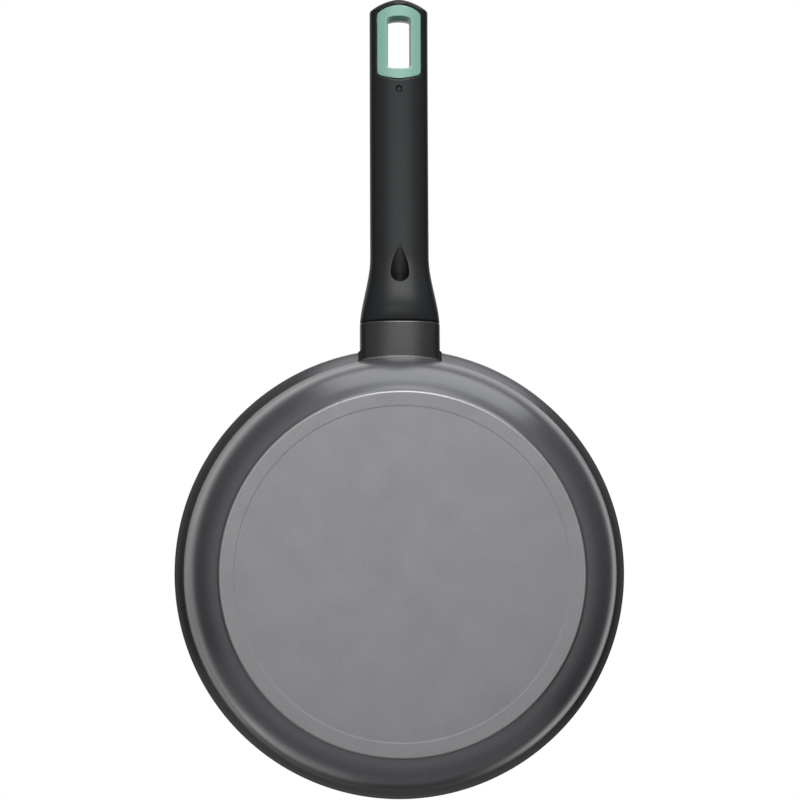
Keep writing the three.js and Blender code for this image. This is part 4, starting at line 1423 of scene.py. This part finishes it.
class PAN_OT_pin(bpy.types.Operator):
    """Builds the black pin that locks the insert, sunk below the surface"""

    bl_idname = "pan.pin"
    bl_label = "Lock pin"

    def execute(self, context):
        _, h, f, lines = sizes_of(context)
        foot = handle_place(h, lines) @ insert_place(h, f)
        place = foot @ Matrix.Translation((-f.pin_offset, 0.0, 0.0))
        low = f.pin_sink - h.grip_drop
        radius = f.pin_diameter / 2 + PIN_SWELL * h.fit
        bevel = radius * POINT_BEVEL
        outline = [(0.0, low), *arc((radius - bevel, low + bevel), bevel, -QUARTER, 0.0)]
        outline += [(radius, low + f.pin_length), (0.0, low + f.pin_length)]
        obj = linked("lock_pin", revolved("lock_pin", outline, ROUND_SEGMENTS), place)
        finished(obj, "insert_lock_pin", "grip_black", bpy.data.materials["Soft-touch black"])
        return {"FINISHED"}


class PAN_OT_stage(bpy.types.Operator):
    """Sets the camera, the lamps, the floor and the white surroundings"""

    bl_idname = "pan.stage"
    bl_label = "Stage"

    def execute(self, context):
        stage = context.scene.pan_stage
        context.scene.view_settings.view_transform = "Standard"
        self.camera(context, stage)
        powers = (stage.key, stage.front, stage.fill, stage.strip, stage.top, stage.back)
        for (name, place, size), power in zip(LAMPS, powers):
            self.lamp(name, place, size, power)
        self.floor(stage)
        self.world(context, stage)
        return {"FINISHED"}

    @staticmethod
    def camera(context, stage):
        """Looks up at the base, with the handle at the top of the picture."""
        place = Vector(stage.camera)
        forward = (Vector(stage.target) - place).normalized()
        right = forward.cross(Vector(stage.up)).normalized()
        up = right.cross(forward)
        data = bpy.data.cameras.new("Camera")
        data.lens = stage.lens
        camera = bpy.data.objects.new("Camera", data)
        facing = Matrix((right, up, -forward)).transposed().to_4x4()
        camera.matrix_world = Matrix.Translation(place) @ facing
        context.scene.collection.objects.link(camera)
        context.scene.camera = camera

    @staticmethod
    def lamp(name, place, size, power):
        """Soft lamp that faces the pan."""
        data = bpy.data.lights.new(name, "AREA")
        data.shape = "RECTANGLE"
        data.size, data.size_y = size
        data.energy = power
        lamp = bpy.data.objects.new(name, data)
        aim = Vector(LAMP_AIM) - Vector(place)
        lamp.rotation_euler = aim.to_track_quat("-Z", "Y").to_euler()
        lamp.location = place
        lamp.visible_camera = False
        bpy.context.scene.collection.objects.link(lamp)

    @staticmethod
    def floor(stage):
        """Pale floor under the base, clear when it is seen from below."""
        half, low = FLOOR_HALF, FLOOR_LEVEL
        corners = [(-half, -half, low), (half, -half, low), (half, half, low), (-half, half, low)]
        floor = linked("floor", mesh_of("floor", corners, [(0, 1, 2, 3)]))
        material, tree, shader, _ = base_material("Floor", stage.floor)
        shader.inputs["Roughness"].default_value = 0.8
        below = tree.nodes.new("ShaderNodeNewGeometry").outputs["Backfacing"]
        clear = tree.nodes.new("ShaderNodeBsdfTransparent")
        shader_mix(tree, below, shader.outputs["BSDF"], clear.outputs["BSDF"], "Material Output")
        dressed(floor, material)
        floor.visible_diffuse = False
        floor.visible_glossy = False
        floor.visible_transmission = False
        floor.visible_shadow = False

    @staticmethod
    def world(context, stage):
        """White behind the object, dim around it."""
        world = bpy.data.worlds.new("Studio")
        world.use_nodes = True
        tree = world.node_tree
        dim = tree.nodes["Background"]
        white = tree.nodes.new("ShaderNodeBackground")
        white.inputs["Color"].default_value = (1.0, 1.0, 1.0, 1.0)
        coordinates = tree.nodes.new("ShaderNodeTexCoord")
        split = tree.nodes.new("ShaderNodeSeparateXYZ")
        tree.links.new(coordinates.outputs["Generated"], split.inputs["Vector"])
        backdrop = range_node(tree, split.outputs["Z"], *BACKDROP_EDGE)
        lower = range_node(tree, split.outputs["Z"], *BELOW_EDGE)
        direction = coordinates.outputs["Generated"]
        level = vector_node(tree, "MULTIPLY", direction, (1.0, 1.0, 0.0))
        heading = vector_node(tree, "NORMALIZE", level)
        ahead = vector_node(tree, "DOT_PRODUCT", heading, (1.0, 0.0, 0.0), "Value")
        upper = vector_node(tree, "DOT_PRODUCT", direction, CEILING_AXIS, "Value")
        outside = range_node(tree, upper, *CEILING_OUTER_EDGE)
        ring = math_node(tree, "MULTIPLY", outside, range_node(tree, upper, *CEILING_INNER_EDGE))
        ring = math_node(tree, "MULTIPLY", ring, range_node(tree, ahead, *CEILING_END))
        around = colour_mix(tree, lower, stage.surround, stage.below)
        tree.links.new(colour_mix(tree, ring, around, stage.ceiling), dim.inputs["Color"])
        path = tree.nodes.new("ShaderNodeLightPath")
        glossy, through = path.outputs["Is Glossy Ray"], path.outputs["Is Transmission Ray"]
        seen = math_node(tree, "MAXIMUM", glossy, through)
        mirrored = math_node(tree, "MULTIPLY", seen, backdrop)
        shown = math_node(tree, "MAXIMUM", path.outputs["Is Camera Ray"], mirrored)
        shader_mix(tree, shown, dim.outputs["Background"], white.outputs["Background"], "World Output")
        context.scene.world = world


class PAN_PT_sidebar(bpy.types.Panel):
    """Sizes, finishes and build steps of the pan"""

    bl_idname = "PAN_PT_sidebar"
    bl_label = "Deep frying pan"
    bl_space_type = "VIEW_3D"
    bl_region_type = "UI"
    bl_category = "Pan"

    def draw(self, context):
        layout = self.layout
        for operator in BUILD_STEPS:
            layout.operator(operator.bl_idname)
        for attribute in PROPERTY_GROUPS:
            group = getattr(context.scene, attribute)
            box = layout.box()
            box.label(text=group.bl_rna.description)
            for key in group.bl_rna.properties.keys():
                if key not in ("rna_type", "name"):
                    box.prop(group, key)


PROPERTY_GROUPS = {
    "pan_body": PanBodySizes,
    "pan_handle": PanHandleSizes,
    "pan_fittings": PanFittingSizes,
    "pan_finishes": PanFinishes,
    "pan_stage": PanStage,
}
BUILD_STEPS = (
    PAN_OT_body,
    PAN_OT_bracket,
    PAN_OT_rivets,
    PAN_OT_guard,
    PAN_OT_grip,
    PAN_OT_insert,
    PAN_OT_screw,
    PAN_OT_pin,
    PAN_OT_stage,
)


def register():
    """Adds the classes and the scene's property groups."""
    for cls in (*PROPERTY_GROUPS.values(), *BUILD_STEPS, PAN_PT_sidebar):
        bpy.utils.register_class(cls)
    for attribute, cls in PROPERTY_GROUPS.items():
        setattr(bpy.types.Scene, attribute, bpy.props.PointerProperty(type=cls))


def unregister():
    """Removes what register added."""
    for attribute in PROPERTY_GROUPS:
        delattr(bpy.types.Scene, attribute)
    for cls in (PAN_PT_sidebar, *reversed(BUILD_STEPS), *reversed(PROPERTY_GROUPS.values())):
        bpy.utils.unregister_class(cls)


def main():
    """Builds every piece and the stage."""
    register()
    bpy.ops.pan.body()
    bpy.ops.pan.bracket()
    bpy.ops.pan.rivets()
    bpy.ops.pan.guard()
    bpy.ops.pan.grip()
    bpy.ops.pan.insert()
    bpy.ops.pan.screw()
    bpy.ops.pan.pin()
    bpy.ops.pan.stage()


if __name__ == "__main__":
    main()
